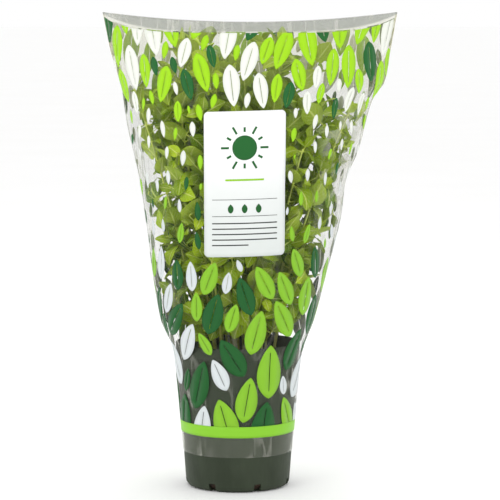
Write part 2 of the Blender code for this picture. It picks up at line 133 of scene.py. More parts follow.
class NodeSketch:
    """Adds and links shader nodes in one node tree."""

    def __init__(self, tree: bpy.types.NodeTree) -> None:
        """Keep the tree that the nodes go into."""
        self.tree = tree

    def add(self, kind: str, inputs: dict | None = None, **settings: object) -> bpy.types.Node:
        """Add one node.

        Args:
            kind: The node's type name, without its leading ShaderNode.
            inputs: Values or sockets for its inputs, by name or index.
            settings: Attributes of the node itself.

        Returns:
            The new node.
        """
        node = self.tree.nodes.new("ShaderNode" + kind)
        for name, value in settings.items():
            setattr(node, name, value)
        self.feed(node, inputs or {})
        return node

    def feed(self, node: bpy.types.Node, inputs: dict) -> None:
        """Link or set a node's inputs, by name or index."""
        for name, value in inputs.items():
            if isinstance(value, bpy.types.NodeSocket):
                self.tree.links.new(value, node.inputs[name])
            else:
                node.inputs[name].default_value = value

    def calc(self, operation: str, *values: object) -> Socket:
        """Result of a Math node on one or two values or sockets."""
        return self.add("Math", dict(enumerate(values)), operation=operation).outputs[0]

    def plus(self, *values: object) -> Socket:
        """Sum of two or more values or sockets."""
        total = values[0]
        for value in values[1:]:
            total = self.calc("ADD", total, value)
        return total

    def times(self, *values: object) -> Socket:
        """Product of two or more values or sockets."""
        total = values[0]
        for value in values[1:]:
            total = self.calc("MULTIPLY", total, value)
        return total

    def minus(self, first: object, second: object) -> Socket:
        """The first value less the second."""
        return self.calc("SUBTRACT", first, second)

    def apart(self, first: object, second: object) -> Socket:
        """How far two values are apart, without a sign."""
        return self.calc("ABSOLUTE", self.minus(first, second))

    def ramp(self, value: Socket, span: Pair) -> Socket:
        """Smooth step of a value, from 0 at the span's first end to 1 at its second."""
        node = self.add(
            "MapRange", {"Value": value, "From Min": span[0], "From Max": span[1]},
            interpolation_type="SMOOTHSTEP",
        )
        return node.outputs[0]

    def mix(self, share: object, first: object, second: object) -> Socket:
        """Colour between two colours, by a share from 0 to 1. A colour is a screen colour or a socket."""
        colours = [screen_colour(part) if isinstance(part, str) else part for part in (first, second)]
        return self.add("Mix", {0: share, 6: colours[0], 7: colours[1]}, data_type="RGBA").outputs[2]

    def noise(self, vector: Socket, scale: object, detail: float) -> Socket:
        """Noise value from 0 to 1."""
        return self.add("TexNoise", {"Vector": vector, "Scale": scale, "Detail": detail}).outputs[0]

    def place(self) -> Socket:
        """Place on the object, in metres."""
        return self.add("TexCoord").outputs["Object"]

    def parts(self, vector: Socket) -> tuple[Socket, ...]:
        """The three numbers of a vector."""
        return tuple(self.add("SeparateXYZ", {0: vector}).outputs)

    def height(self) -> Socket:
        """Height above the floor, in metres."""
        return self.parts(self.place())[2]

    def bump(self, height: Socket, strength: float, distance: float) -> Socket:
        """Normal bent by a height."""
        return self.add("Bump", {"Height": height, "Strength": strength, "Distance": distance}).outputs[0]


def grain_group() -> bpy.types.NodeTree:
    """Node group of soft mottling and fine grain, shared by all the finishes.

    Returns:
        A group with the inputs Scale and Stretch and the outputs Mottle and Grain.
    """
    known = bpy.data.node_groups.get("mottle_and_grain")
    if known:
        return known
    group = bpy.data.node_groups.new("mottle_and_grain", "ShaderNodeTree")
    for name, kind in (("Scale", "NodeSocketFloat"), ("Stretch", "NodeSocketVector")):
        group.interface.new_socket(name=name, in_out="INPUT", socket_type=kind)
    for name in ("Mottle", "Grain"):
        group.interface.new_socket(name=name, in_out="OUTPUT", socket_type="NodeSocketFloat")
    sketch = NodeSketch(group)
    entry = group.nodes.new("NodeGroupInput")
    result = group.nodes.new("NodeGroupOutput")
    scale, stretch = entry.outputs["Scale"], entry.outputs["Stretch"]
    stretched = sketch.add("VectorMath", {0: sketch.place(), 1: stretch}, operation="MULTIPLY").outputs[0]
    finer = sketch.times(scale, GRAIN_TO_MOTTLE)
    sketch.feed(result, {"Mottle": sketch.noise(stretched, scale, 3.0), "Grain": sketch.noise(stretched, finer, 2.0)})
    return group


class Finish:
    """A named surface finish that makes its own material."""

    name: str

    def sketch(self) -> tuple[bpy.types.Material, NodeSketch, bpy.types.Node]:
        """New material of this finish's name, with its node sketch and its shader."""
        material = bpy.data.materials.new(self.name)
        material.use_nodes = True
        shader = material.node_tree.nodes["Principled BSDF"]
        return material, NodeSketch(material.node_tree), shader

    def build(self) -> bpy.types.Material:
        """Material of this finish."""
        raise NotImplementedError

    def grain(
        self, sketch: NodeSketch, scale: float, stretch: tuple[float, float, float] = (1.0, 1.0, 1.0)
    ) -> tuple[Socket, Socket]:
        """Mottle and grain of the shared group, placed in this material.

        Args:
            sketch: The material's nodes.
            scale: Size of the pattern, in repeats to the metre.
            stretch: How much finer it runs along each axis.

        Returns:
            The mottle and the grain, each from 0 to 1.
        """
        node = sketch.add("Group", {"Scale": scale, "Stretch": stretch}, node_tree=grain_group())
        return node.outputs["Mottle"], node.outputs["Grain"]


@dataclass(frozen=True)
class PotFinish(Finish):
    """Matt moulded plastic of recycled olive grey, a little scuffed at its foot."""

    name: str = "pot_moulded_plastic"
    dark: str = "2b3424"
    light: str = "353e2e"
    mottling: Pair = (0.35, 0.7)
    scuff_heights: Pair = (0.012, 0.0)
    scuff_share: float = 0.5
    roughness: float = 0.47
    roughness_spread: float = 0.2
    gloss: float = 0.3

    def build(self) -> bpy.types.Material:
        """Material of the pot."""
        material, sketch, shader = self.sketch()
        mottle, grain = self.grain(sketch, 55.0, (1.0, 1.0, 0.35))
        scuff = sketch.times(sketch.ramp(sketch.height(), self.scuff_heights), self.scuff_share)
        share = sketch.plus(sketch.ramp(mottle, self.mottling), scuff)
        sketch.feed(shader, {
            "Base Color": sketch.mix(share, self.dark, self.light),
            "Roughness": sketch.plus(self.roughness, sketch.times(grain, self.roughness_spread)),
            "Normal": sketch.bump(grain, 0.25, 0.0003),
            "Specular IOR Level": self.gloss,
        })
        return material


@dataclass(frozen=True)
class CompostFinish(Finish):
    """Damp dark compost with paler fibres and grit."""

    name: str = "damp_compost"
    dark: str = "1c140e"
    brown: str = "3d2b1c"
    grit: str = "8c7d66"
    mottling: Pair = (0.35, 0.65)
    grit_from: Pair = (0.66, 0.72)
    roughness: float = 0.9

    def build(self) -> bpy.types.Material:
        """Material of the compost and its crumbs."""
        material, sketch, shader = self.sketch()
        mottle, grain = self.grain(sketch, 160.0)
        colour = sketch.mix(sketch.ramp(mottle, self.mottling), self.dark, self.brown)
        sketch.feed(shader, {
            "Base Color": sketch.mix(sketch.ramp(grain, self.grit_from), colour, self.grit),
            "Roughness": self.roughness,
            "Normal": sketch.bump(grain, 0.8, 0.0008),
        })
        return material


@dataclass(frozen=True)
class LeafFinish(Finish):
    """Soft downy leaf: pale midrib and side veins, paler underneath, fresher when young."""

    name: str = "oregano_leaf"
    deep: str = "436f04"
    fresh: str = "a6c41a"
    young: str = "b8d02c"
    under: str = "a6ba48"
    vein: str = "d6e27e"
    stalk: str = "cdd85e"
    midrib_edge: Pair = (0.03, 0.14)
    side_vein_edge: Pair = (0.0, 0.13)
    side_vein_fade: Pair = (0.45, 1.0)
    side_vein_share: float = 0.55
    tint_share: float = 0.65
    tint_span: Pair = (0.15, 0.75)
    young_share: float = 0.8
    under_from: Pair = (0.1, -0.2)
    under_share: float = 0.6
    vein_share: float = 0.75
    stalk_end: Pair = (0.19, 0.14)
    grain_relief: float = 0.3
    roughness: float = 0.42
    roughness_spread: float = 0.3
    gloss: float = 0.15

    def veins(self, sketch: NodeSketch, across: Socket, along: Socket) -> Socket:
        """Mask of the midrib and the side veins, from the place across and along the leaf."""
        rim = sketch.apart(sketch.times(across, 2.0), 1.0)
        midrib = sketch.minus(1.0, sketch.ramp(rim, self.midrib_edge))
        leaning = sketch.times(sketch.calc("POWER", rim, VEIN_CURVE), VEIN_LEAN)
        phase = sketch.times(sketch.minus(along, leaning), SIDE_VEINS)
        side = sketch.minus(1.0, sketch.ramp(sketch.apart(sketch.calc("FRACT", phase), 0.5), self.side_vein_edge))
        side = sketch.times(side, sketch.minus(1.0, sketch.ramp(rim, self.side_vein_fade)), self.side_vein_share)
        return sketch.calc("MAXIMUM", midrib, side)

    def build(self) -> bpy.types.Material:
        """Material of the leaves, read from each leaf's own UV map and its growth attribute."""
        material, sketch, shader = self.sketch()
        across, along, _ = sketch.parts(sketch.add("UVMap", uv_map="leaf").outputs[0])
        growth = sketch.add("Attribute", attribute_name="growth").outputs["Vector"]
        tint, youth, face = sketch.parts(growth)
        veins = self.veins(sketch, across, along)
        mottle, grain = self.grain(sketch, 90.0)
        shade = sketch.plus(sketch.times(tint, self.tint_share), sketch.times(mottle, 1 - self.tint_share))
        colour = sketch.mix(sketch.ramp(shade, self.tint_span), self.deep, self.fresh)
        for share, other in (
            (sketch.times(youth, self.young_share), self.young),
            (sketch.times(sketch.ramp(face, self.under_from), self.under_share), self.under),
            (sketch.times(veins, self.vein_share), self.vein),
            (sketch.ramp(along, self.stalk_end), self.stalk),
        ):
            colour = sketch.mix(share, colour, other)
        relief = sketch.minus(sketch.times(grain, self.grain_relief), veins)
        sketch.feed(shader, {
            "Base Color": colour,
            "Roughness": sketch.plus(self.roughness, sketch.times(mottle, self.roughness_spread)),
            "Normal": sketch.bump(relief, 0.5, 0.0005),
            "Specular IOR Level": self.gloss,
        })
        return material


@dataclass(frozen=True)
class StemFinish(Finish):
    """Fine ribbed stem, brownish at its foot and pale green above."""

    name: str = "oregano_stem"
    foot: str = "85852c"
    green: str = "adbd42"
    pale: str = "cfdb6c"
    foot_heights: Pair = (0.19, 0.125)
    foot_share: float = 0.8
    roughness: float = 0.6

    def build(self) -> bpy.types.Material:
        """Material of the stems."""
        material, sketch, shader = self.sketch()
        mottle, grain = self.grain(sketch, 120.0, (1.0, 1.0, 0.15))
        woody = sketch.times(sketch.ramp(sketch.height(), self.foot_heights), self.foot_share)
        sketch.feed(shader, {
            "Base Color": sketch.mix(woody, sketch.mix(mottle, self.green, self.pale), self.foot),
            "Roughness": self.roughness,
            "Normal": sketch.bump(grain, 0.4, 0.0003),
        })
        return material


@dataclass(frozen=True)
class FilmFinish(Finish):
    """Thin clear film, its haze kept as alpha: whiter at its welds and outside the print, whiter edge on from its
    haze and a painted reflection, with painted highlight streaks in its creases and painted glints on crumpled
    patches.
    """

    name: str = "clear_film"
    colour: str = "a9ac9c"
    band_colour: str = "9b9f93"
    cream: str = "c4c194"
    # pale is the colour of the painted highlight streaks and painted glints
    pale: str = "dddcd0"
    haze: float = 0.013
    upper_haze: float = 0.035
    back_haze: float = 0.13
    # whiter edge on: partly the film's own haze, partly a painted reflection kept as alpha
    edge_haze_and_reflection: float = 0.30
    # painted highlight streaks along the creases
    streak_highlight: float = 0.40
    # painted glints on crumpled patches of the right side
    glint_haze: float = 0.16
    band_haze: float = 0.20
    foot_haze: float = 0.055
    weld_haze: float = 0.22
    upper_heights: Pair = (0.315, 0.360)
    back_heights: Pair = (0.13, 0.36)
    back_depths: Pair = (0.0, 0.02)
    weld_depths: Pair = (0.0026, 0.0012)
    # the streak fields shape the painted highlight streaks
    streak_width: Pair = (0.0, 0.045)
    streak_patches: Pair = (0.36, 0.60)
    streak_facing: Pair = (0.25, 0.80)
    streak_least: float = 0.05
    foot_streak_heights: Pair = (0.140, 0.110)
    foot_streak_share: float = 0.14
    # the glint fields place the painted glints
    glint_patches: Pair = (0.52, 0.56)
    glint_across: Pair = (0.062, 0.078)
    glint_heights: tuple[Pair, Pair] = ((0.228, 0.242), (0.325, 0.305))
    # share of the pale painted highlight colour in the streaks and glints
    highlight_share: float = 0.8
    print_edge: float = 0.0008
    roughness: float = 0.16
    grain_relief: float = 0.2
    coat: float = 0.5
    coat_roughness: float = 0.06

    def outside_print(self, sketch: NodeSketch, across: Socket, height: Socket) -> tuple[Socket, Socket]:
        """Masks of the bare bands of film above and below the print."""
        share = sketch.calc("DIVIDE", sketch.minus(across, MOUTH_MIDDLE), MOUTH_HALF_WIDTH)
        rise = sketch.times(sketch.calc("POWER", sketch.calc("ABSOLUTE", share), 4.0), CORNER_RISE)
        above = sketch.ramp(sketch.minus(height, rise), (PRINT_TOP, PRINT_TOP + self.print_edge))
        return above, sketch.ramp(height, (BAND_LOW + self.print_edge, BAND_LOW))

    def build(self) -> bpy.types.Material:
        """Material of the film."""
        material, sketch, shader = self.sketch()
        place = sketch.place()
        across, depth, height = sketch.parts(place)
        facing = sketch.add("LayerWeight", {"Blend": 0.5}).outputs["Facing"]
        mottle, grain = self.grain(sketch, 70.0, (1.0, 1.0, 0.16))
        # painted highlight streaks: thin lines of noise in patches, gathered towards the edges and the foot
        line = sketch.minus(1.0, sketch.ramp(sketch.apart(mottle, 0.5), self.streak_width))
        line = sketch.times(line, sketch.ramp(sketch.noise(place, 24.0, 1.0), self.streak_patches))
        streak_gather = sketch.plus(
            self.streak_least, sketch.ramp(facing, self.streak_facing),
            sketch.times(sketch.ramp(height, self.foot_streak_heights), self.foot_streak_share),
        )
        upper = sketch.ramp(height, self.upper_heights)
        behind = sketch.times(sketch.ramp(height, self.back_heights), sketch.ramp(depth, self.back_depths))
        # painted glints: pale patches of noise on the crumpled right side
        glint_mask = sketch.times(
            sketch.ramp(sketch.noise(place, 75.0, 1.0), self.glint_patches),
            *(sketch.ramp(height, span) for span in self.glint_heights), sketch.ramp(across, self.glint_across),
        )
        above, below = self.outside_print(sketch, across, height)
        weld = sketch.ramp(sketch.calc("ABSOLUTE", depth), self.weld_depths)
        # alpha: the film's real haze plus painted reflection edge on, painted highlight streaks and painted glints
        haze = sketch.plus(
            self.haze, sketch.times(sketch.calc("POWER", facing, 3.0), self.edge_haze_and_reflection),
            sketch.times(line, streak_gather, self.streak_highlight), sketch.times(weld, self.weld_haze),
            sketch.times(above, self.band_haze), sketch.times(below, self.foot_haze),
            sketch.times(upper, self.upper_haze), sketch.times(behind, self.back_haze),
            sketch.times(glint_mask, self.glint_haze),
        )
        # white is the share of the pale painted highlight colour, on the streaks and glints
        white = sketch.times(sketch.calc("MAXIMUM", line, glint_mask), self.highlight_share)
        colour = sketch.mix(above, sketch.mix(upper, self.colour, self.cream), self.band_colour)
        sketch.feed(shader, {
            "Base Color": sketch.mix(white, colour, self.pale),
            "Alpha": haze,
            "Normal": sketch.bump(sketch.plus(mottle, sketch.times(grain, self.grain_relief)), 0.35, 0.002),
            "Roughness": self.roughness,
            "Coat Weight": self.coat,
            "Coat Roughness": self.coat_roughness,
        })
        return material


@dataclass(frozen=True)
class InkFinish(Finish):
    """Printing ink on the film, painted a little brighter high up: painted backlight, where more light comes through.
    """

    name: str
    low: str
    high: str
    # heights over which the painted backlight brightens the ink
    painted_backlight_heights: Pair = (0.20, 0.34)
    mottle_share: float = 0.2
    roughness: float = 0.38
    roughness_spread: float = 0.1
    gloss: float = 0.25
    coat: float = 0.08
    coat_roughness: float = 0.12

    def build(self) -> bpy.types.Material:
        """Material of one ink."""
        material, sketch, shader = self.sketch()
        mottle, grain = self.grain(sketch, 60.0)
        colour = screen_colour(self.low)
        # painted backlight: from the low colour to the high one up the sleeve, with random mottle
        if self.high != self.low:
            share = sketch.ramp(sketch.height(), self.painted_backlight_heights)
            colour = sketch.mix(sketch.plus(share, sketch.times(mottle, self.mottle_share)), self.low, self.high)
        sketch.feed(shader, {
            "Base Color": colour,
            "Roughness": sketch.plus(self.roughness, sketch.times(grain, self.roughness_spread)),
            "Specular IOR Level": self.gloss,
            "Coat Weight": self.coat,
            "Coat Roughness": self.coat_roughness,
        })
        return material


class Ink(Enum):
    """The inks of the print, with their finishes."""

    # each ink's second colour is its painted backlit colour high up; BAND and DARK have none
    LIME = InkFinish("ink_lime", "82bb2a", "a2dc10")
    GREEN = InkFinish("ink_leaf_green", "10581f", "1b6428")
    WHITE = InkFinish("ink_white", "d1d8db", "eff2e8")
    BAND = InkFinish("ink_band_lime", "88ca2c", "88ca2c")
    PANEL = InkFinish("ink_panel_white", "d6dcd9", "ffffff")
    DARK = InkFinish("ink_panel_dark", "20281f", "20281f")


class Palette:
    """Materials of the finishes in use, each made once."""

    def __init__(self) -> None:
        """Start with no materials."""
        self.made: dict[str, bpy.types.Material] = {}

    def of(self, finish: Finish) -> bpy.types.Material:
        """Material of a finish, made when it is first asked for."""
        if finish.name not in self.made:
            self.made[finish.name] = finish.build()
        return self.made[finish.name]


# pieces


def piece_from(
    name: str, shape: bmesh.types.BMesh, materials: Sequence[bpy.types.Material],
    replaced: Sequence[str] = (), crease_degrees: float = 40.0,
) -> bpy.types.Object:
    """Object of the dressed plant, made from a bmesh, which is freed.

    Args:
        name: The piece's name.
        shape: Its form, in place.
        materials: Its materials, in the order of the faces' indices.
        replaced: The frame's nodes that it stands for.
        crease_degrees: Edges that bend more than this stay sharp.

    Returns:
        The new object, riding on the plant's one body.
    """
    mesh = bpy.data.meshes.new(name)
    shape.to_mesh(mesh)
    shape.free()
    for material in materials:
        mesh.materials.append(material)
    mesh.shade_smooth()
    mesh.set_sharp_from_angle(angle=math.radians(crease_degrees))
    piece = bpy.data.objects.new(name, mesh)
    bpy.context.scene.collection.objects.link(piece)
    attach(piece, "root")
    if replaced:
        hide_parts(*replaced)
    return piece


def report(piece: bpy.types.Object) -> None:
    """Log a piece's name, box and number of triangles."""
    evaluated = piece.evaluated_get(bpy.context.evaluated_depsgraph_get())
    mesh = evaluated.to_mesh()
    mesh.calc_loop_triangles()
    corners = np.array([corner[:] for corner in evaluated.bound_box]) / MM
    log.info(
        "%s: %s to %s mm, %d triangles", piece.name, corners.min(0).round(1).tolist(),
        corners.max(0).round(1).tolist(), len(mesh.loop_triangles),
    )
    evaluated.to_mesh_clear()


def add_shape(whole: bmesh.types.BMesh, part: bmesh.types.BMesh) -> None:
    """Add a part to a bmesh, and free the part."""
    mesh = bpy.data.meshes.new("part")
    part.to_mesh(mesh)
    part.free()
    whole.from_mesh(mesh)
    bpy.data.meshes.remove(mesh)


def bisect_at(shape: bmesh.types.BMesh, places: Iterable[float], axis: int) -> None:
    """Cut a shape across an axis, at each place, without removing anything."""
    normal = [0.0, 0.0, 0.0]
    normal[axis] = 1.0
    for place in places:
        bmesh.ops.bisect_plane(
            shape, geom=shape.verts[:] + shape.edges[:] + shape.faces[:], dist=1e-7,
            plane_co=[place * part for part in normal], plane_no=normal,
        )


def clip(shape: bmesh.types.BMesh, point: Sequence[float], normal: Sequence[float]) -> None:
    """Remove what lies beyond a plane, on the side that its normal points to."""
    bmesh.ops.bisect_plane(
        shape, geom=shape.verts[:] + shape.edges[:] + shape.faces[:], dist=1e-7,
        plane_co=point, plane_no=normal, clear_outer=True,
    )


def spun(profile: Sequence[Pair], steps: int) -> bmesh.types.BMesh:
    """Closed solid spun round Z from (radius, height) points that start and end on the axis.

    Args:
        profile: The outline.
        steps: Flats round the solid.

    Returns:
        The solid, with its faces turned outwards.
    """
    shape = bmesh.new()
    points = [shape.verts.new((radius, 0.0, height)) for radius, height in profile]
    edges = [shape.edges.new(pair) for pair in zip(points, points[1:])]
    bmesh.ops.spin(
        shape, geom=points + edges, cent=(0, 0, 0), axis=(0, 0, 1), angle=math.tau,
        steps=steps, use_merge=True,
    )
    bmesh.ops.remove_doubles(shape, verts=shape.verts[:], dist=1e-6)
    bmesh.ops.recalc_face_normals(shape, faces=shape.faces[:])
    return shape


def rounded(
    corners: Sequence[tuple[float, float, float]], steps: int
) -> list[Pair]:
    """Outline with its corners rounded.

    Args:
        corners: (radius, height, rounding) of each corner, with no rounding at the ends.
        steps: Points on each rounded corner, less one.

    Returns:
        The outline's (radius, height) points.
    """
    outline: list[Pair] = []
    for index, (radius, height, rounding) in enumerate(corners):
        here = Vector((radius, height))
        if rounding == 0.0:
            outline.append((radius, height))
            continue
        before = (Vector(corners[index - 1][:2]) - here).normalized() * rounding
        after = (Vector(corners[index + 1][:2]) - here).normalized() * rounding
        for step in range(steps + 1):
            t = step / steps
            point = here + before * (1 - t) ** 2 + after * t**2
            outline.append((point.x, point.y))
    return outline


# pot and compost


@dataclass(frozen=True)
class Pot:
    """The nursery pot: a thin tub with a collar, a rounded foot and drain slots."""

    height: float = 0.122
    foot_radius: float = 0.0436
    flare: float = 0.0732
    wall: float = 0.0012
    corner: float = 0.0052
    collar_height: float = 0.0103
    collar_radius: float = 0.0523
    slots: int = 7
    slot_width: float = 0.0062
    slot_top: float = 0.0068
    slot_depth: float = 0.014
    first_slot: float = math.radians(22.5)
    steps: int = 128

    def radius(self, height: float) -> float:
        """Radius of the outer wall at a height."""
        return self.foot_radius + self.flare * height

    def outline(self) -> list[Pair]:
        """Outline of the tub, from its floor inside, over the rim and down to its underside."""
        foot = self.height - self.collar_height
        wall, edge = self.wall, 0.0005
        return rounded([
            (0.0, wall, 0.0),
            (self.radius(self.corner) - self.corner, wall, 0.0015),
            (self.radius(self.corner) - wall, self.corner, 0.0015),
            (self.radius(foot) - wall, foot, 0.0006),
            (self.collar_radius - wall, foot + wall, 0.0006),
            (self.collar_radius - wall, self.height, edge),
            (self.collar_radius, self.height, edge),
            (self.collar_radius, foot, edge),
            (self.radius(foot), foot, 0.0004),
            (self.radius(0.0), 0.0, self.corner),
            (0.0, 0.0, 0.0),
        ], 5)

    def cutters(self) -> bpy.types.Object:
        """Boxes that cut the drain slots, with softened corners."""
        boxes = bmesh.new()
        for number in range(self.slots):
            turn = self.first_slot + math.tau * number / self.slots
            reach = self.radius(0.0)
            place = Matrix.Translation((
                reach * math.sin(turn), -reach * math.cos(turn), self.slot_top / 2 - self.wall,
            ))
            size = Matrix.Diagonal((self.slot_width, self.slot_depth, self.slot_top + 2 * self.wall, 1.0))
            bmesh.ops.create_cube(boxes, size=1.0, matrix=place @ Matrix.Rotation(turn, 4, "Z") @ size)
        bmesh.ops.bevel(
            boxes, geom=boxes.edges[:], offset=0.0005, affect="EDGES", segments=2, profile=0.5, material=-1,
        )
        mesh = bpy.data.meshes.new("slot_cutters")
        boxes.to_mesh(mesh)
        boxes.free()
        cutter = bpy.data.objects.new("slot_cutters", mesh)
        bpy.context.scene.collection.objects.link(cutter)
        return cutter

    def build(self, palette: Palette) -> bpy.types.Object:
        """The pot, in place of the frame's plainer one."""
        pot = piece_from(
            "pot_moulded", spun(self.outline(), self.steps), [palette.of(PotFinish())], ["pot"],
        )
        cutter = self.cutters()
        cut = pot.modifiers.new("slots", "BOOLEAN")
        cut.operation = "DIFFERENCE"
        cut.object = cutter
        bpy.context.view_layer.update()
        evaluated = pot.evaluated_get(bpy.context.evaluated_depsgraph_get())
        pot.data = bpy.data.meshes.new_from_object(evaluated)
        pot.modifiers.clear()
        bpy.data.objects.remove(cutter)
        pot.data.set_sharp_from_angle(angle=math.radians(40.0))
        return pot


@dataclass(frozen=True)
class Compost:
    """The compost: a plug that fills the pot, with a lumpy, crumbly top."""

    top: float = 0.108
    gap: float = 0.0006
    lump_height: float = 0.0022
    lump_waves: Pair = (95.0, 143.0)
    crumb_height: float = 0.0007
    crumbs: int = 170
    crumb_sizes: Pair = (0.0006, 0.0018)
    seed: int = 912
    steps: int = 96
    rings: int = 14

    def height(self, x: float, y: float) -> float:
        """Height of the lumpy top."""
        waves = self.lump_waves
        return self.top + self.lump_height * math.sin(waves[0] * x + 1.0) * math.cos(waves[1] * y)

    def build(self, pot: Pot, palette: Palette) -> bpy.types.Object:
        """The compost, in place of the frame's plainer one."""
        wall = pot.wall + self.gap
        edge_height = pot.height - pot.collar_height - self.gap * 2
        edge = pot.radius(edge_height) - wall
        foot_height = pot.corner + self.gap
        outline = [(edge * ring / self.rings, self.top) for ring in range(self.rings + 1)]
        outline += [
            (pot.radius(foot_height) - wall, foot_height),
            (pot.radius(pot.corner) - pot.corner - self.gap, pot.wall + self.gap),
            (0.0, pot.wall + self.gap),
        ]
        plug = spun(outline, self.steps)
        for vertex in plug.verts:
            if vertex.co.z > self.top - self.gap / 2:
                rough = noise.noise(vertex.co * 310.0) * self.crumb_height
                inside = 1.0 - (vertex.co.xy.length / edge) ** 8
                vertex.co.z = self.height(vertex.co.x, vertex.co.y) + rough * inside - self.crumb_height
        self.scatter(plug, edge)
        return piece_from(
            "compost_crumbly", plug, [palette.of(CompostFinish())], ["compost"], crease_degrees=80.0,
        )

    def scatter(self, plug: bmesh.types.BMesh, edge: float) -> None:
        """Strew crumbs over the top, half sunk in it."""
        draw = random.Random(self.seed)
        for _ in range(self.crumbs):
            turn, reach = draw.uniform(0.0, math.tau), math.sqrt(draw.random()) * (edge - 0.003)
            size = draw.uniform(*self.crumb_sizes)
            x, y = reach * math.cos(turn), reach * math.sin(turn)
            place = Matrix.Translation((x, y, self.height(x, y) - self.crumb_height))
            spin = Matrix.Rotation(draw.uniform(0.0, math.tau), 4, "Z")
            flat = Matrix.Diagonal((1.0, draw.uniform(0.6, 0.9), draw.uniform(0.5, 0.8), 1.0))
            bmesh.ops.create_icosphere(plug, subdivisions=1, radius=size, matrix=place @ spin @ flat)


# sleeve form


@dataclass(frozen=True)
class SleeveForm:
    """Form of the sleeve's outer face, measured as (height, value) points."""

    foot: float = 0.030
    top: float = 0.3993
    mouth_sag: float = 0.0083
    air: float = 0.0019  # least air between the plant and the outer face
    inset: float = 0.0004  # the dressed film runs this far inside the frame's one
    left_edge: Curve = (
        (0.030, -0.0468), (0.106, -0.0537), (0.120, -0.0563), (0.131, -0.0615), (0.141, -0.0657),
        (0.174, -0.0715), (0.208, -0.0756), (0.259, -0.0830), (0.301, -0.0925), (0.334, -0.0977),
        (0.3674, -0.1068), (0.3993, -0.1133),
    )
    right_edge: Curve = (
        (0.030, 0.0468), (0.106, 0.0537), (0.120, 0.0570), (0.131, 0.0612), (0.141, 0.0652),
        (0.174, 0.0738), (0.225, 0.0871), (0.259, 0.0920), (0.284, 0.1020), (0.326, 0.1136),
        (0.341, 0.1235), (0.3674, 0.1284), (0.3993, 0.1341),
    )
    half_depth: Curve = (
        (0.030, 0.0468), (0.106, 0.0537), (0.123, 0.0565), (0.150, 0.0590), (0.190, 0.0620),
        (0.240, 0.0650), (0.300, 0.0670), (0.350, 0.0660), (0.3993, 0.0640),
    )
    seam_pinch: Curve = ((0.030, 0.0), (0.120, 0.0), (0.170, 0.15), (0.250, 0.35), (0.3993, 0.65))
    crease_start: Curve = ((0.112, 0.0), (0.135, 0.35), (0.20, 1.0), (0.40, 1.0))
    crease_depth: float = 0.0007
    least_crease: float = 0.05  # share of that depth in the middle of a sheet
    folds: float = 21.0
    wander: float = 7.0
    wander_scales: Pair = (2.2, 11.0)  # round the sleeve and up it
    dent_squash: float = 0.8
    pulls: int = 24
    pull: float = 0.985
    dents: tuple[tuple[float, float, float, float], ...] = (
        # angle, height, reach, depth
        (-0.42, 0.312, 0.016, 0.0011), (-0.62, 0.276, 0.018, 0.0010), (-0.30, 0.252, 0.014, 0.0008),
        (-0.85, 0.330, 0.020, 0.0008), (-2.70, 0.235, 0.016, 0.0008), (-2.85, 0.300, 0.018, 0.0009),
        (0.70, 0.290, 0.020, 0.0010), (2.35, 0.250, 0.020, 0.0010), (1.30, 0.215, 0.018, 0.0007),
    )

    def section(self, height: float) -> tuple[float, float, float, float]:
        """Middle, half width, half depth and seam pinch at a height."""
        left = eased(self.left_edge, height)
        right = eased(self.right_edge, height)
        pinch = max(eased(self.seam_pinch, height), 0.0)
        return (left + right) / 2, (right - left) / 2, eased(self.half_depth, height), pinch

    def contains(self, point: Vector) -> bool:
        """Whether a point is inside the sleeve and clear of its wall."""
        middle, half_width, half_depth, pinch = self.section(point.z)
        across = abs(point.x - middle) / (half_width - self.air)
        if across >= 1.0:
            return False
        return abs(point.y) <= half_depth * (1 - across**2) ** ((1 + pinch) / 2) - self.air

    def held(self, point: Vector) -> Vector:
        """The point itself, or if it would press on the film, the point drawn in from it."""
        if self.contains(point):
            return point
        middle = self.section(point.z)[0]
        for _ in range(self.pulls):
            point = Vector((middle + (point.x - middle) * self.pull, point.y * self.pull, point.z))
            if self.contains(point):
                break
        return point

    def crease(self, angle: float, height: float) -> float:
        """How far the film's creases and dents draw it in at an angle and a height."""
        half_depth = self.section(height)[2]
        side = abs(math.cos(angle)) ** 3
        loose = straight(self.crease_start, height)
        around, up = self.wander_scales
        place = Vector((math.cos(angle) * around, math.sin(angle) * around, height * up))
        fold = 0.5 + 0.5 * math.sin(self.folds * angle + self.wander * noise.noise(place))
        depth = loose * self.crease_depth * (self.least_crease + (1 - self.least_crease) * side) * fold
        for turn, level, reach, deep in self.dents:
            gap = math.hypot((angle - turn) * half_depth, (height - level) * self.dent_squash) / reach
            depth += deep * math.exp(-gap * gap * 2.0)
        return depth

    def skin(self, angle: float, height: float) -> Vector:
        """Point of the dressed film's outer face.

        Args:
            angle: Direction from +X, between minus and plus half a turn.
            height: Height above the floor.

        Returns:
            The point.
        """
        middle, half_width, half_depth, pinch = self.section(height)
        inward = self.inset + self.crease(angle, height)
        side = math.sin(angle)
        return Vector((
            middle + (half_width - inward) * math.cos(angle),
            (half_depth - inward) * side * abs(side) ** pinch,
            height,
        ))


# foliage


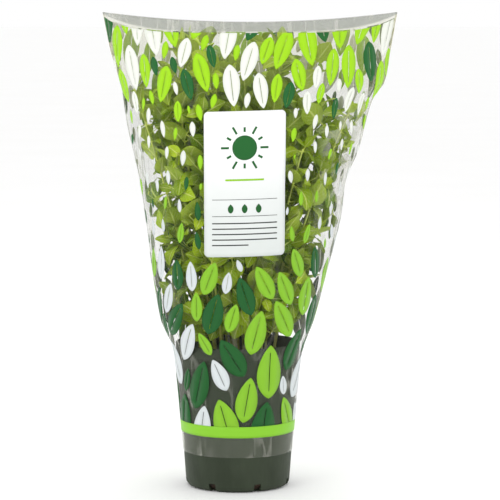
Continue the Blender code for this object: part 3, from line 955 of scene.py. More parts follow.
@dataclass(frozen=True)
class Stem:
    """A stem that starts upright and leans out towards its tip."""

    foot: Vector
    tip: Vector
    sway: Vector
    turn: float
    free: float
    lean: float = 1.35
    foot_radius: float = 0.00135
    tip_radius: float = 0.0010
    buried_share: float = BURIED_SHARE
    step: float = PAIR_PITCH / 4
    slim: float = 0.8

    def share(self, height: float) -> float:
        """How far up the free part of the stem a height lies, from 0 to 1."""
        return max((height - self.free) / (self.tip.z - self.free), 0.0)

    def point(self, height: float) -> Vector:
        """Point of the stem's axis at a height."""
        share = self.share(height)
        lean = (self.tip - self.foot) * share**self.lean
        bow = self.sway * math.sin(math.pi * share)
        return Vector((self.foot.x + lean.x + bow.x, self.foot.y + lean.y + bow.y, height))

    def direction(self, height: float) -> Vector:
        """Direction of growth at a height."""
        return (self.point(height + self.step) - self.point(height - self.step)).normalized()

    def radius(self, height: float) -> float:
        """Radius from the axis to an edge of the square stem."""
        share = min(self.share(height), 1.0)
        return self.foot_radius + (self.tip_radius - self.foot_radius) * share

    def place(self, across: float, through: float, along: float) -> Vector:
        """Point of the stem's surface, for a template bar from 0 to 1."""
        if along < self.buried_share:
            height = self.foot.z + (self.free - self.foot.z) * along / self.buried_share
        else:
            height = self.free + (self.tip.z - self.free) * (along - self.buried_share) / (1 - self.buried_share)
        reach = self.radius(height)
        offset = Vector((across * reach, through * reach, 0.0))
        offset.rotate(Matrix.Rotation(self.turn, 3, "Z"))
        return self.point(height) + offset

    def surface(self, across: float, through: float, along: float) -> Vector:
        """Point of the finer stem: a little slimmer, with rounded edges."""
        square = self.slim / max(abs(across) + abs(through), 1.0) ** 0.6
        return self.place(across * square, through * square, along)


@dataclass(frozen=True)
class Leaf:
    """An arched leaf whose stalk starts at the stem's axis."""

    root: Vector
    outward: Vector
    upward: Vector
    length: float
    rise: float
    droop: float
    roll: float
    cup: float
    stalk: float = LEAF_STALK
    width: float = 0.30
    stalk_half_width: float = 0.0005
    thickness: float = 0.00095
    blade_half_thickness: float = 0.00018
    rib_depth: float = 0.00035
    blade_start: float = 0.06
    ripple: float = 0.030
    ripple_waves: float = 17.0
    ripple_start: float = 4.5
    ripple_offset: float = 2.0  # of one half of the leaf from the other
    quilt: float = 0.010

    def half_width(self, along: float) -> float:
        """Half the width at a share of the length: a stalk, then a pointed oval."""
        share = max(along - self.stalk, 0.0) / (1 - self.stalk)
        oval = math.sin(math.pi * min(share, 1.0) ** 0.72)
        blade = self.width * self.length * max(oval, 0.0) ** 0.8
        return max(blade, self.stalk_half_width * (along < 1.0))

    def spine(self, along: float) -> tuple[Vector, Vector, Vector, float]:
        """Middle line of the leaf at a share of its length.

        Args:
            along: The share, from 0 at the stem to 1 at the leaf's tip.

        Returns:
            The point, the direction to the rim, the direction up out of the leaf and half the width.
        """
        share = max(along - self.stalk, 0.0) / (1 - self.stalk)
        tilt = self.rise - self.droop * share
        arc = self.length * (1 - self.stalk) / self.droop
        stalk = self.length * min(along, self.stalk)
        out = stalk * math.cos(self.rise) + arc * (math.sin(self.rise) - math.sin(tilt))
        up = stalk * math.sin(self.rise) + arc * (math.cos(tilt) - math.cos(self.rise))
        point = self.root + self.outward * out + self.upward * up
        face = self.upward * math.cos(tilt) - self.outward * math.sin(tilt)
        side = self.upward.cross(self.outward)
        turn = self.roll * share
        rim = side * math.cos(turn) + face * math.sin(turn)
        lift = face * math.cos(turn) - side * math.sin(turn)
        return point, rim, lift, self.half_width(along)

    def place(self, across: float, through: float, along: float, swell: float = 0.0) -> Vector:
        """Point of the plain leaf, across from rim to rim and through from its under to its upper face."""
        point, rim, lift, half = self.spine(along)
        rise = self.cup * half * across**2 + through * (self.thickness / 2 + swell)
        return point + rim * across * (half + swell) + lift * rise

    def surface(self, across: float, through: float, along: float) -> Vector:
        """Point of the finer leaf: rippled at its rim, with a round stalk and a rib underneath."""
        point, rim, lift, half = self.spine(along)
        on_blade = min(max((along - self.stalk) / self.blade_start, 0.0), 1.0)
        thick = self.blade_half_thickness + (self.stalk_half_width - self.blade_half_thickness) * (1 - on_blade)
        if through < 0:
            thick += self.rib_depth * (1 - abs(across)) ** 6 * (1 - along) * on_blade
        wave = math.sin(self.ripple_waves * along + self.ripple_start + self.ripple_offset * (across > 0))
        ripple = self.ripple * self.length * wave * abs(across) ** 3 * on_blade * (1 - along) ** 0.5
        quilt = math.cos(math.tau * SIDE_VEINS * (along - VEIN_LEAN * abs(across) ** VEIN_CURVE))
        quilt *= self.quilt * self.length
        quilt *= on_blade * (1 - abs(across)) * abs(across) * (1 - along)
        rise = self.cup * half * across**2 + through * thick + ripple + quilt
        return point + rim * across * half + lift * rise


def bar_template(stations: Sequence[float], pointed: bool, split_from: float = -1.0) -> bmesh.types.BMesh:
    """Four-sided bar of unit size along Z, with its upper quads split alike.

    Args:
        stations: Where it has rings between its ends.
        pointed: Whether its upper end is a point.
        split_from: Quads above this height are split.

    Returns:
        The bar.
    """
    bar = bmesh.new()
    bmesh.ops.create_cone(
        bar, cap_ends=True, segments=4, radius1=1.0, radius2=1.0, depth=1.0,
        matrix=Matrix.Translation((0.0, 0.0, 0.5)),
    )
    for station in stations:
        bmesh.ops.bisect_plane(
            bar, geom=bar.verts[:] + bar.edges[:] + bar.faces[:], dist=0.0001,
            plane_co=(0.0, 0.0, station), plane_no=(0.0, 0.0, 1.0),
        )
    if pointed:
        end = [vertex for vertex in bar.verts if vertex.co.z > 0.999]
        bmesh.ops.pointmerge(bar, verts=end, merge_co=(0.0, 0.0, 1.0))
    for face in list(bar.faces):
        low = min(vertex.co.z for vertex in face.verts)
        high = max(vertex.co.z for vertex in face.verts)
        if len(face.verts) == 4 and high > low > split_from:
            middle = (low + high) / 2
            spine = next(v for v in face.verts if v.co.z < middle and abs(v.co.x) < 0.5)
            rim = next(v for v in face.verts if v.co.z > middle and abs(v.co.x) > 0.5)
            bmesh.utils.face_split(face, spine, rim)
    return bar


def fine_template(sides: int, stations: int, start: float, pointed: bool) -> bmesh.types.BMesh:
    """Many-sided bar of unit size along Z, with its place kept as a UV map and an attribute.

    Args:
        sides: Corners of its cross section.
        stations: Rings above the start.
        start: Height of the first ring.
        pointed: Whether its upper end is a point.

    Returns:
        The bar.
    """
    bar = bmesh.new()
    bmesh.ops.create_cone(
        bar, cap_ends=True, segments=sides, radius1=1.0, radius2=1.0, depth=1.0,
        matrix=Matrix.Translation((0.0, 0.0, 0.5)) @ Matrix.Rotation(math.pi / 2, 4, "Z"),
    )
    bisect_at(bar, [start + (1 - start) * ring / stations for ring in range(stations)], 2)
    if pointed:
        end = [vertex for vertex in bar.verts if vertex.co.z > 0.999]
        bmesh.ops.pointmerge(bar, verts=end, merge_co=(0.0, 0.0, 1.0))
    layer = bar.loops.layers.uv.new("leaf")
    bar.verts.layers.float_vector.new("growth")
    for face in bar.faces:
        for loop in face.loops:
            loop[layer].uv = (loop.vert.co.x * 0.5 + 0.5, loop.vert.co.z)
    return bar


def shaped(template: bmesh.types.BMesh, place: Callable[..., Vector], **options: float) -> bmesh.types.BMesh:
    """Copy of a template bar with each vertex moved to where the shape's rule puts it."""
    shape = template.copy()
    for vertex in shape.verts:
        across, through, along = vertex.co
        vertex.co = place(across, through, along, **options)
    return shape


class Crowd:
    """The stems and leaves placed so far, which a new one stays clear of."""

    def __init__(self) -> None:
        """Start with nothing placed."""
        self.trees: list[BVHTree] = []
        self.owners = np.empty(0, int)
        self.lows = np.empty((0, 3))
        self.highs = np.empty((0, 3))

    def add(self, owner: int, shape: bmesh.types.BMesh) -> None:
        """Remember a shape of one stem."""
        points = np.array([vertex.co[:] for vertex in shape.verts])
        self.trees.append(BVHTree.FromBMesh(shape))
        self.owners = np.append(self.owners, owner)
        self.lows = np.vstack([self.lows, points.min(axis=0)])
        self.highs = np.vstack([self.highs, points.max(axis=0)])

    def is_clear(self, shape: bmesh.types.BMesh, owner: int | None = None, own: bool = False) -> bool:
        """Whether a shape touches nothing that belongs to other stems, or with own set, to this one.

        Args:
            shape: The shape to test.
            owner: The stem that it belongs to, or None for a new stem.
            own: Whether it is tested against its own stem instead.

        Returns:
            True when nothing touches.
        """
        if not self.trees:
            return True
        points = np.array([vertex.co[:] for vertex in shape.verts])
        near = np.all(self.lows < points.max(axis=0), axis=1)
        near &= np.all(self.highs > points.min(axis=0), axis=1)
        near &= (self.owners == owner) == own
        if not near.any():
            return True
        tree = BVHTree.FromBMesh(shape)
        return not any(tree.overlap(self.trees[index]) for index in np.flatnonzero(near))


class Posture(Enum):
    """How a leaf is held: its ranges of rise from the stem and of droop along the blade, in radians."""

    UPRIGHT = ((0.75, 1.25), (0.10, 0.80))
    HANGING = ((-0.35, 0.50), (0.50, 1.40))
    SHOOT = ((0.85, 1.30), (0.10, 0.60))


@dataclass(frozen=True)
class Bars:
    """The plain shapes of unit size that the placement is tested with."""

    stem: bmesh.types.BMesh
    leaf: bmesh.types.BMesh


@dataclass
class Plant:
    """The oregano: its stems and leaves are placed by the same rule as the frame's, then made finer."""

    sleeve: SleeveForm = field(default_factory=SleeveForm)
    compost: Compost = field(default_factory=Compost)
    stems: int = 30
    seed: int = 3807
    golden_angle: float = math.radians(137.508)
    foot_spread: float = 0.0355
    tip_spread: float = 0.93
    tip_jitter: float = 0.007
    head_top: float = 0.366
    head_shoulder: float = 0.038
    tip_drops: tuple[float, ...] = (0.0, 0.062, 0.022, 0.108, 0.044)
    outer_lift: float = 0.7
    tall_stem: int = 5
    tall_tip: tuple[float, float, float] = (-0.027, -0.030, 0.371)
    sway: float = 0.0045
    stem_rings: int = 5
    hole_depth: float = 0.010
    first_pair: float = 0.30
    lowest_pair: float = 0.138
    leaf_length: float = 0.042
    leaf_stations: tuple[float, ...] = (LEAF_STALK, 0.40, 0.72)
    leaf_rolls: Pair = (-0.9, 0.9)
    leaf_cups: Pair = (0.05, 0.28)
    leaf_sizes: Pair = (0.88, 1.06)
    leaf_shrink: float = 0.40
    leaf_wander: Pair = (0.15, 0.9)  # at the first try, and what the last one adds
    upright_share: Pair = (0.35, 0.4)  # at a stem's foot, and what its tip adds
    young_from: float = 0.75
    young_slopes: Pair = (2.4, 1.6)  # of the main leaves and the small ones
    leaf_tries: int = 24
    leaf_root: float = 0.0003
    leaf_air: float = 0.0005
    leaf_floor: float = 0.126
    leaf_ceiling: float = 0.3895
    small_tries: int = 6
    small_air: float = 0.0001
    small_roll: float = 0.45
    small_shrink: float = 0.45
    small_wander: Pair = (0.2, 1.2)
    shoot_share: float = 0.4
    axil_sizes: Pair = (0.40, 0.85)
    branch_tries: int = 5
    branch_first: float = 0.119
    branch_pitch: float = 0.016
    branch_room: float = 0.010
    branch_reach: Pair = (0.014, 0.046)
    branch_rise: Pair = (0.45, 1.25)
    branch_pairs: tuple[float, ...] = (0.35, 0.62, 0.85, 1.0)
    branch_sizes: Pair = (0.50, 0.92)
    branch_wander: float = 0.7
    branch_shrink: float = 0.5
    branch_sway: float = 0.4
    branch_lean: float = 0.8
    branch_radii: Pair = (0.0007, 0.0005)
    branch_start: float = 0.05
    fine_stem: tuple[int, int] = (8, 30)  # sides and rings of the finer bars
    fine_branch: tuple[int, int] = (6, 8)
    fine_leaf: tuple[int, int] = (14, 15)
    fine_small: tuple[int, int] = (10, 10)

    def free(self) -> float:
        """Height where the stems start to lean."""
        return self.compost.top + self.compost.lump_height + 0.001

    def grow_stems(self, template: bmesh.types.BMesh, crowd: Crowd) -> list[Stem]:
        """Place the stems from the compost to the head, each clear of the ones before."""
        draw = random.Random(self.seed)
        stems: list[Stem] = []
        while len(stems) < self.stems:
            number = len(stems)
            turn = number * self.golden_angle
            reach = math.sqrt((number + 0.5) / self.stems)
            heading = Vector((math.cos(turn), math.sin(turn), 0.0))
            foot = heading * self.foot_spread * reach
            foot.z = self.compost.top - self.hole_depth
            drop = self.tip_drops[number % len(self.tip_drops)] * (1 - self.outer_lift * reach**2)
            jitter = self.tip_jitter
            height = self.head_top - self.head_shoulder * reach**2 - drop + draw.uniform(-jitter, jitter)
            middle, half_width, half_depth, _ = self.sleeve.section(height)
            spread = self.tip_spread * reach**0.8
            tip = Vector((
                middle + heading.x * spread * half_width + draw.uniform(-jitter, jitter),
                heading.y * spread * half_depth + draw.uniform(-jitter, jitter),
                height,
            ))
            if number == self.tall_stem:
                tip = Vector(self.tall_tip)
            sway = Vector((draw.uniform(-1, 1), draw.uniform(-1, 1), 0.0)) * self.sway
            stem = Stem(foot, tip, sway, draw.uniform(0.0, math.tau), self.free())
            shape = shaped(template, stem.place)
            if self.sleeve.contains(tip) and crowd.is_clear(shape):
                crowd.add(number, shape)
                stems.append(stem)
            shape.free()
        return stems

    def leaf_at(
        self, stem: Stem, height: float, turn: float, length: float, rise: float, droop: float,
        draw: random.Random,
    ) -> Leaf:
        """A leaf that leaves the stem at a height, heading off at an angle round it."""
        upward = stem.direction(height)
        outward = Vector((math.cos(turn), math.sin(turn), 0.0))
        outward = (outward - upward * outward.dot(upward)).normalized()
        return Leaf(
            root=stem.point(height) + outward * self.leaf_root, outward=outward, upward=upward,
            length=length, rise=rise, droop=droop, roll=draw.uniform(*self.leaf_rolls),
            cup=draw.uniform(*self.leaf_cups),
        )

    def size_along(self, share: float) -> float:
        """Leaf size up a stem: small at the foot, largest low in the middle, smallest at the tip."""
        return 0.40 + 0.60 * math.sin(math.pi * min(0.30 + 0.62 * share, 1.0)) ** 0.8

    def pair_heights(self, stem: Stem, draw: random.Random) -> list[float]:
        """Heights of a stem's pairs of leaves, from the lowest to the tip."""
        first = stem.free + self.first_pair * (stem.tip.z - stem.free)
        first = max(first, self.lowest_pair) + draw.uniform(0.0, PAIR_PITCH / 2)
        pairs = max(round((stem.tip.z - first) / PAIR_PITCH), 2)
        reach = stem.tip.z - stem.tip_radius * 2 - first
        return [first + reach * (pair / pairs) for pair in range(pairs + 1)]

    def grow_leaves(
        self, stems: Sequence[Stem], template: bmesh.types.BMesh, crowd: Crowd
    ) -> tuple[list[list[Leaf]], list[list[float]]]:
        """Leaves of every stem, in pairs from the lowest to the tip, each clear of all the rest.

        Args:
            stems: The stems.
            template: The plain leaf.
            crowd: What is placed already.

        Returns:
            The leaves of each stem and the heights of its pairs.
        """
        draw = random.Random(self.seed + 1)
        leaves: list[list[Leaf]] = [[] for _ in stems]
        heights: list[list[float]] = []
        for number, stem in enumerate(stems):
            heights.append(self.pair_heights(stem, draw))
            for pair, height in enumerate(heights[-1]):
                share = pair / (len(heights[-1]) - 1)
                for side in range(2):
                    leaf = self.find_leaf(stem, number, height, share, pair, side, template, crowd, draw)
                    if leaf is not None:
                        leaves[number].append(leaf)
        return leaves, heights

    def find_leaf(
        self, stem: Stem, number: int, height: float, share: float, pair: int, side: int,
        template: bmesh.types.BMesh, crowd: Crowd, draw: random.Random,
    ) -> Leaf | None:
        """The first of several tries at a leaf that is clear of everything, or None."""
        for attempt in range(self.leaf_tries):
            loose = attempt / self.leaf_tries
            turn = stem.turn + math.pi / 4 + math.pi * side + math.pi / 2 * pair
            turn += draw.uniform(-1, 1) * (self.leaf_wander[0] + self.leaf_wander[1] * loose)
            length = self.leaf_length * self.size_along(share) * (1 - self.leaf_shrink * loose)
            length *= draw.uniform(*self.leaf_sizes)
            upright = draw.random() < self.upright_share[0] + self.upright_share[1] * share
            posture = Posture.UPRIGHT if upright else Posture.HANGING
            rise, droop = draw.uniform(*posture.value[0]), draw.uniform(*posture.value[1])
            leaf = self.leaf_at(stem, height, turn, length, rise, droop, draw)
            if self.takes(leaf, number, template, crowd, self.leaf_air):
                return leaf
        return None

    def takes(
        self, leaf: Leaf, number: int, template: bmesh.types.BMesh, crowd: Crowd, air: float
    ) -> bool:
        """Whether the crowd has room for a leaf, which is then added to it.

        Args:
            leaf: The leaf to place.
            number: The stem it grows on.
            template: The plain leaf.
            crowd: What is placed already.
            air: The least air round the leaf.

        Returns:
            True when the leaf was placed.
        """
        shape = shaped(template, leaf.place, swell=air)
        held = all(
            self.sleeve.contains(v.co) and self.leaf_floor < v.co.z < self.leaf_ceiling for v in shape.verts
        )
        clear = held and crowd.is_clear(shape, number)
        if clear:
            blade = [v for v in shape.verts if (v.co - leaf.root).length < self.leaf_root * 9]
            bmesh.ops.delete(shape, geom=blade, context="VERTS")
            clear = crowd.is_clear(shape, number, own=True)
        shape.free()
        if clear:
            placed = shaped(template, leaf.place)
            crowd.add(number, placed)
            placed.free()
        return clear

    def small_leaf(
        self, stem: Stem, number: int, height: float, turn: float, length: float, bars: Bars, crowd: Crowd,
        draw: random.Random,
    ) -> Leaf | None:
        """The first of several tries at a small leaf of a side branch or an axil, or None.

        Args:
            stem: The stem or branch that it grows on.
            number: The stem's number.
            height: Where it grows.
            turn: Its heading round the stem.
            length: Its length if there is room.
            bars: The plain shapes.
            crowd: What is placed already.
            draw: The random draws.

        Returns:
            The leaf, if there was room for one.
        """
        for attempt in range(self.small_tries):
            loose = attempt / self.small_tries
            heading = turn + draw.uniform(-1, 1) * (self.small_wander[0] + self.small_wander[1] * loose)
            posture = Posture.SHOOT if draw.random() < self.shoot_share else Posture.HANGING
            rise, droop = draw.uniform(*posture.value[0]), draw.uniform(*posture.value[1])
            leaf = self.leaf_at(stem, height, heading, length * (1 - self.small_shrink * loose), rise, droop, draw)
            leaf = replace(leaf, roll=leaf.roll * self.small_roll)
            if self.takes(leaf, number, bars.leaf, crowd, self.small_air):
                return leaf
        return None

    def grow_axils(
        self, stems: Sequence[Stem], heights: Sequence[Sequence[float]], bars: Bars, crowd: Crowd,
        draw: random.Random,
    ) -> list[list[Leaf]]:
        """Small leaves in the axils and half way between the pairs of each stem."""
        small: list[list[Leaf]] = [[] for _ in stems]
        for number, stem in enumerate(stems):
            levels = sorted([*heights[number], *(
                (low + high) / 2 for low, high in zip(heights[number], heights[number][1:])
            )])
            for level, height in enumerate(levels):
                share = level / (len(levels) - 1)
                for side in range(2):
                    turn = stem.turn + math.pi * side + level * 1.3
                    length = self.leaf_length * draw.uniform(*self.axil_sizes) * (1.0 - 0.35 * share)
                    leaf = self.small_leaf(stem, number, height, turn, length, bars, crowd, draw)
                    if leaf is not None:
                        small[number].append(leaf)
        return small

    def find_branch(
        self, stem: Stem, number: int, height: float, level: int, bars: Bars, crowd: Crowd, draw: random.Random
    ) -> Stem | None:
        """The first of several tries at a side branch that is clear of the other stems, or None."""
        for attempt in range(self.branch_tries):
            loose = attempt / self.branch_tries
            turn = stem.turn + self.golden_angle * level + draw.uniform(-self.branch_wander, self.branch_wander)
            reach = draw.uniform(*self.branch_reach) * (1 - self.branch_shrink * loose)
            foot = stem.point(height)
            tip = foot + Vector((
                math.cos(turn) * reach, math.sin(turn) * reach, reach * draw.uniform(*self.branch_rise),
            ))
            sway = Vector((draw.uniform(-1, 1), draw.uniform(-1, 1), 0.0)) * self.sway * self.branch_sway
            if tip.z > self.leaf_ceiling - self.branch_room or not self.sleeve.contains(tip):
                continue
            branch = Stem(
                foot, tip, sway, turn, free=foot.z, lean=self.branch_lean, foot_radius=self.branch_radii[0],
                tip_radius=self.branch_radii[1], buried_share=0.0,
            )
            shape = shaped(bars.stem, branch.place)
            held = all(self.sleeve.contains(vertex.co) for vertex in shape.verts)
            clear = held and crowd.is_clear(shape, number)
            if clear:
                crowd.add(number, shape)
            shape.free()
            if clear:
                return branch
        return None

    def grow_branches(
        self, stems: Sequence[Stem], bars: Bars, crowd: Crowd, draw: random.Random
    ) -> tuple[list[list[Stem]], list[list[Leaf]]]:
        """Thin side branches of every stem, and their small leaves in pairs.

        Args:
            stems: The stems.
            bars: The plain shapes.
            crowd: What is placed already.
            draw: The random draws.

        Returns:
            The branches and the small leaves of each stem.
        """
        branches: list[list[Stem]] = [[] for _ in stems]
        small: list[list[Leaf]] = [[] for _ in stems]
        for number, stem in enumerate(stems):
            height, level = self.branch_first + draw.uniform(0.0, self.branch_pitch), 0
            while height < stem.tip.z - self.branch_room:
                branch = self.find_branch(stem, number, height, level, bars, crowd, draw)
                height += self.branch_pitch * draw.uniform(0.8, 1.2)
                level += 1
                if branch is None:
                    continue
                branches[number].append(branch)
                for pair, share in enumerate(self.branch_pairs):
                    place = branch.free + (branch.tip.z - branch.free) * share
                    for side in range(2):
                        turn = branch.turn + math.pi * side + math.pi / 2 * (pair + 1)
                        length = self.leaf_length * draw.uniform(*self.branch_sizes) * (1.12 - 0.42 * share)
                        leaf = self.small_leaf(branch, number, place, turn, length, bars, crowd, draw)
                        if leaf is not None:
                            small[number].append(leaf)
        return branches, small

    def draw_leaf(
        self, shape: bmesh.types.BMesh, leaf: Leaf, template: bmesh.types.BMesh, tint: float, youth: float
    ) -> None:
        """Add one fine leaf to a stem's shape.

        Args:
            shape: The leafy stem so far.
            leaf: The leaf's form.
            template: The fine leaf of unit size.
            tint: How fresh its green is, from 0 to 1.
            youth: How young it is, from 0 to 1.
        """
        blade = template.copy()
        layer = blade.verts.layers.float_vector["growth"]
        for vertex in blade.verts:
            across, through, along = vertex.co
            vertex[layer] = (tint, youth, through)
            vertex.co = self.sleeve.held(leaf.surface(across, through, along))
        add_shape(shape, blade)

    def build(self, palette: Palette) -> list[bpy.types.Object]:
        """Every leafy stem, each in place of the frame's plainer one."""
        free_share = (1 - BURIED_SHARE) / (self.stem_rings + 1)
        stem_bar = bar_template(
            [BURIED_SHARE + free_share * ring for ring in range(self.stem_rings + 1)], pointed=False,
        )
        leaf_bar = bar_template(self.leaf_stations, pointed=True, split_from=self.leaf_stations[0] / 2)
        crowd = Crowd()
        stems = self.grow_stems(stem_bar, crowd)
        leaves, heights = self.grow_leaves(stems, leaf_bar, crowd)
        bars, draw = Bars(stem_bar, leaf_bar), random.Random(self.seed + 2)
        branches, small = self.grow_branches(stems, bars, crowd, draw)
        axils = self.grow_axils(stems, heights, bars, crowd, draw)
        log.info(
            "%d leaves, %d side branches with %d small leaves, %d axil leaves",
            *(sum(map(len, group)) for group in (leaves, branches, small, axils)),
        )
        fine_stem = fine_template(*self.fine_stem, BURIED_SHARE, pointed=False)
        fine_branch = fine_template(*self.fine_branch, self.branch_start, pointed=False)
        fine_leaf = fine_template(*self.fine_leaf, LEAF_STALK, pointed=True)
        fine_small = fine_template(*self.fine_small, LEAF_STALK, pointed=True)
        materials = [palette.of(LeafFinish()), palette.of(StemFinish())]
        pieces = []
        for number, stem in enumerate(stems):
            shape = bmesh.new()
            for bar, axis in [(fine_stem, stem), *((fine_branch, branch) for branch in branches[number])]:
                add_shape(shape, shaped(bar, axis.surface))
            for face in shape.faces:
                face.material_index = 1
            for leaf in leaves[number]:
                youth = max(stem.share(leaf.root.z) - self.young_from, 0.0) * self.young_slopes[0]
                self.draw_leaf(shape, leaf, fine_leaf, draw.random(), youth)
            for leaf in small[number] + axils[number]:
                youth = max(stem.share(leaf.root.z) - self.young_from, 0.0) * self.young_slopes[1]
                youth += draw.uniform(0.0, 0.5)
                self.draw_leaf(shape, leaf, fine_small, draw.random(), youth)
            name = f"stem_{number + 1:02d}"
            pieces.append(piece_from(f"leafy_{name}", shape, materials, [name], 70.0))
        for template in (stem_bar, leaf_bar, fine_stem, fine_branch, fine_leaf, fine_small):
            template.free()
        return pieces


# sleeve and print


class Side(Enum):
    """The two sheets of film that the sleeve is welded from, by the angle of their middle."""

    FRONT = -math.pi / 2
    BACK = math.pi / 2


class FilmSheet:
    """Lays flat shapes on the film: across is the way round from a sheet's middle, and up is the height."""

    def __init__(self, form: SleeveForm, film: bmesh.types.BMesh) -> None:
        """Measure the way round at each height, and keep the film's faces.

        Args:
            form: The sleeve's form.
            film: The dressed film's outer face.
        """
        self.form = form
        self.lean = form.section(form.top)[0] / (form.top - form.foot)
        self.tree = BVHTree.FromBMesh(film)
        self.levels = np.arange(form.foot, form.top + MM, MM)
        self.turns = np.linspace(0.0, math.pi / 2, 97)
        rows = []
        for level in self.levels:
            _, half_width, half_depth, pinch = form.section(float(level))
            x = half_width * np.sin(self.turns)
            y = half_depth * np.cos(self.turns) ** (1 + pinch)
            rows.append(np.concatenate([[0.0], np.cumsum(np.hypot(np.diff(x), np.diff(y)))]))
        self.ways = np.array(rows)

    def reach(self, height: float) -> float:
        """Way round from a sheet's middle to its weld at a height."""
        return float(np.interp(height, self.levels, self.ways[:, -1]))

    def drift(self, side: Side, height: float) -> float:
        """Way from a sheet's middle to the print's straight axis at a height."""
        drift = self.lean * (height - self.form.foot) - self.form.section(height)[0]
        return drift if side is Side.FRONT else -drift

    def angle(self, side: Side, across: float, height: float) -> float:
        """Angle from +X of a place on a sheet, measured across from the print's axis."""
        across += self.drift(side, height)
        row = min(max((height - self.levels[0]) / MM, 0.0), len(self.levels) - 1.001)
        low, share = int(row), row - int(row)
        way = abs(across)
        turn = np.interp(way, self.ways[low], self.turns) * (1 - share)
        turn += np.interp(way, self.ways[low + 1], self.turns) * share
        return side.value + math.copysign(float(turn), across)

    def lay(self, shape: bmesh.types.BMesh, side: Side, proud: float) -> None:
        """Move a flat shape's vertices on to the film.

        Args:
            shape: The flat shape, with X as across and Y as the height.
            side: The sheet it lies on.
            proud: How far it stands off the film.
        """
        for vertex in shape.verts:
            across, height, _ = vertex.co
            angle = self.angle(side, across, height)
            point = self.form.skin(math.atan2(math.sin(angle), math.cos(angle)), height)
            nearest, normal, _, _ = self.tree.find_nearest(point)
            vertex.co = nearest + normal * proud


def outline_disc(segments: int) -> bmesh.types.BMesh:
    """Flat disc of unit radius, as one face."""
    disc = bmesh.new()
    bmesh.ops.create_circle(disc, cap_ends=True, segments=segments, radius=1.0)
    return disc


def leaf_motif(large: bool) -> bpy.types.Mesh:
    """Flat leaf of unit size along Y, pointed at both ends, with an open midrib if it is large."""
    motif = outline_disc(32 if large else 20)
    for vertex in motif.verts:
        x, y, _ = vertex.co
        vertex.co.x = x * abs(x) ** 0.45 * (1 - 0.22 * y)
    bisect_at(motif, (-0.72, -0.45, -0.15, 0.15, 0.45, 0.72) if large else (-0.5, 0.0, 0.5), 1)
    if large:
        half_slit, low, high = 0.032, -0.85, 0.6
        bisect_at(motif, (-0.45, -half_slit, half_slit, 0.45), 0)
        middles = {face: face.calc_center_median() for face in motif.faces}
        slit = [face for face, middle in middles.items() if abs(middle.x) < half_slit and low < middle.y < high]
        bmesh.ops.delete(motif, geom=slit, context="FACES")
    bmesh.ops.triangulate(motif, faces=motif.faces[:])
    mesh = bpy.data.meshes.new("motif_large" if large else "motif_small")
    motif.to_mesh(mesh)
    motif.free()
    return mesh


@dataclass(frozen=True)
class Motif:
    """One printed leaf on a flat sheet of film."""

    across: float
    height: float
    length: float
    width: float
    heading: float
    ink: Ink

    def discs(self) -> tuple[np.ndarray, np.ndarray]:
        """Discs that cover the leaf, as their centres and radii."""
        along = np.array([-0.8, -0.45, 0.0, 0.45, 0.8])
        radii = self.width / 2 * (1 - along**2) ** 0.72
        up = np.array([-math.sin(self.heading), math.cos(self.heading)])
        return np.array([self.across, self.height]) + along[:, None] * self.length / 2 * up, radii

    def matrix(self) -> Matrix:
        """Place of the unit leaf."""
        place = Matrix.Translation((self.across, self.height, 0.0))
        size = Matrix.Diagonal((self.width / 2, self.length / 2, 1.0, 1.0))
        return place @ Matrix.Rotation(self.heading, 4, "Z") @ size


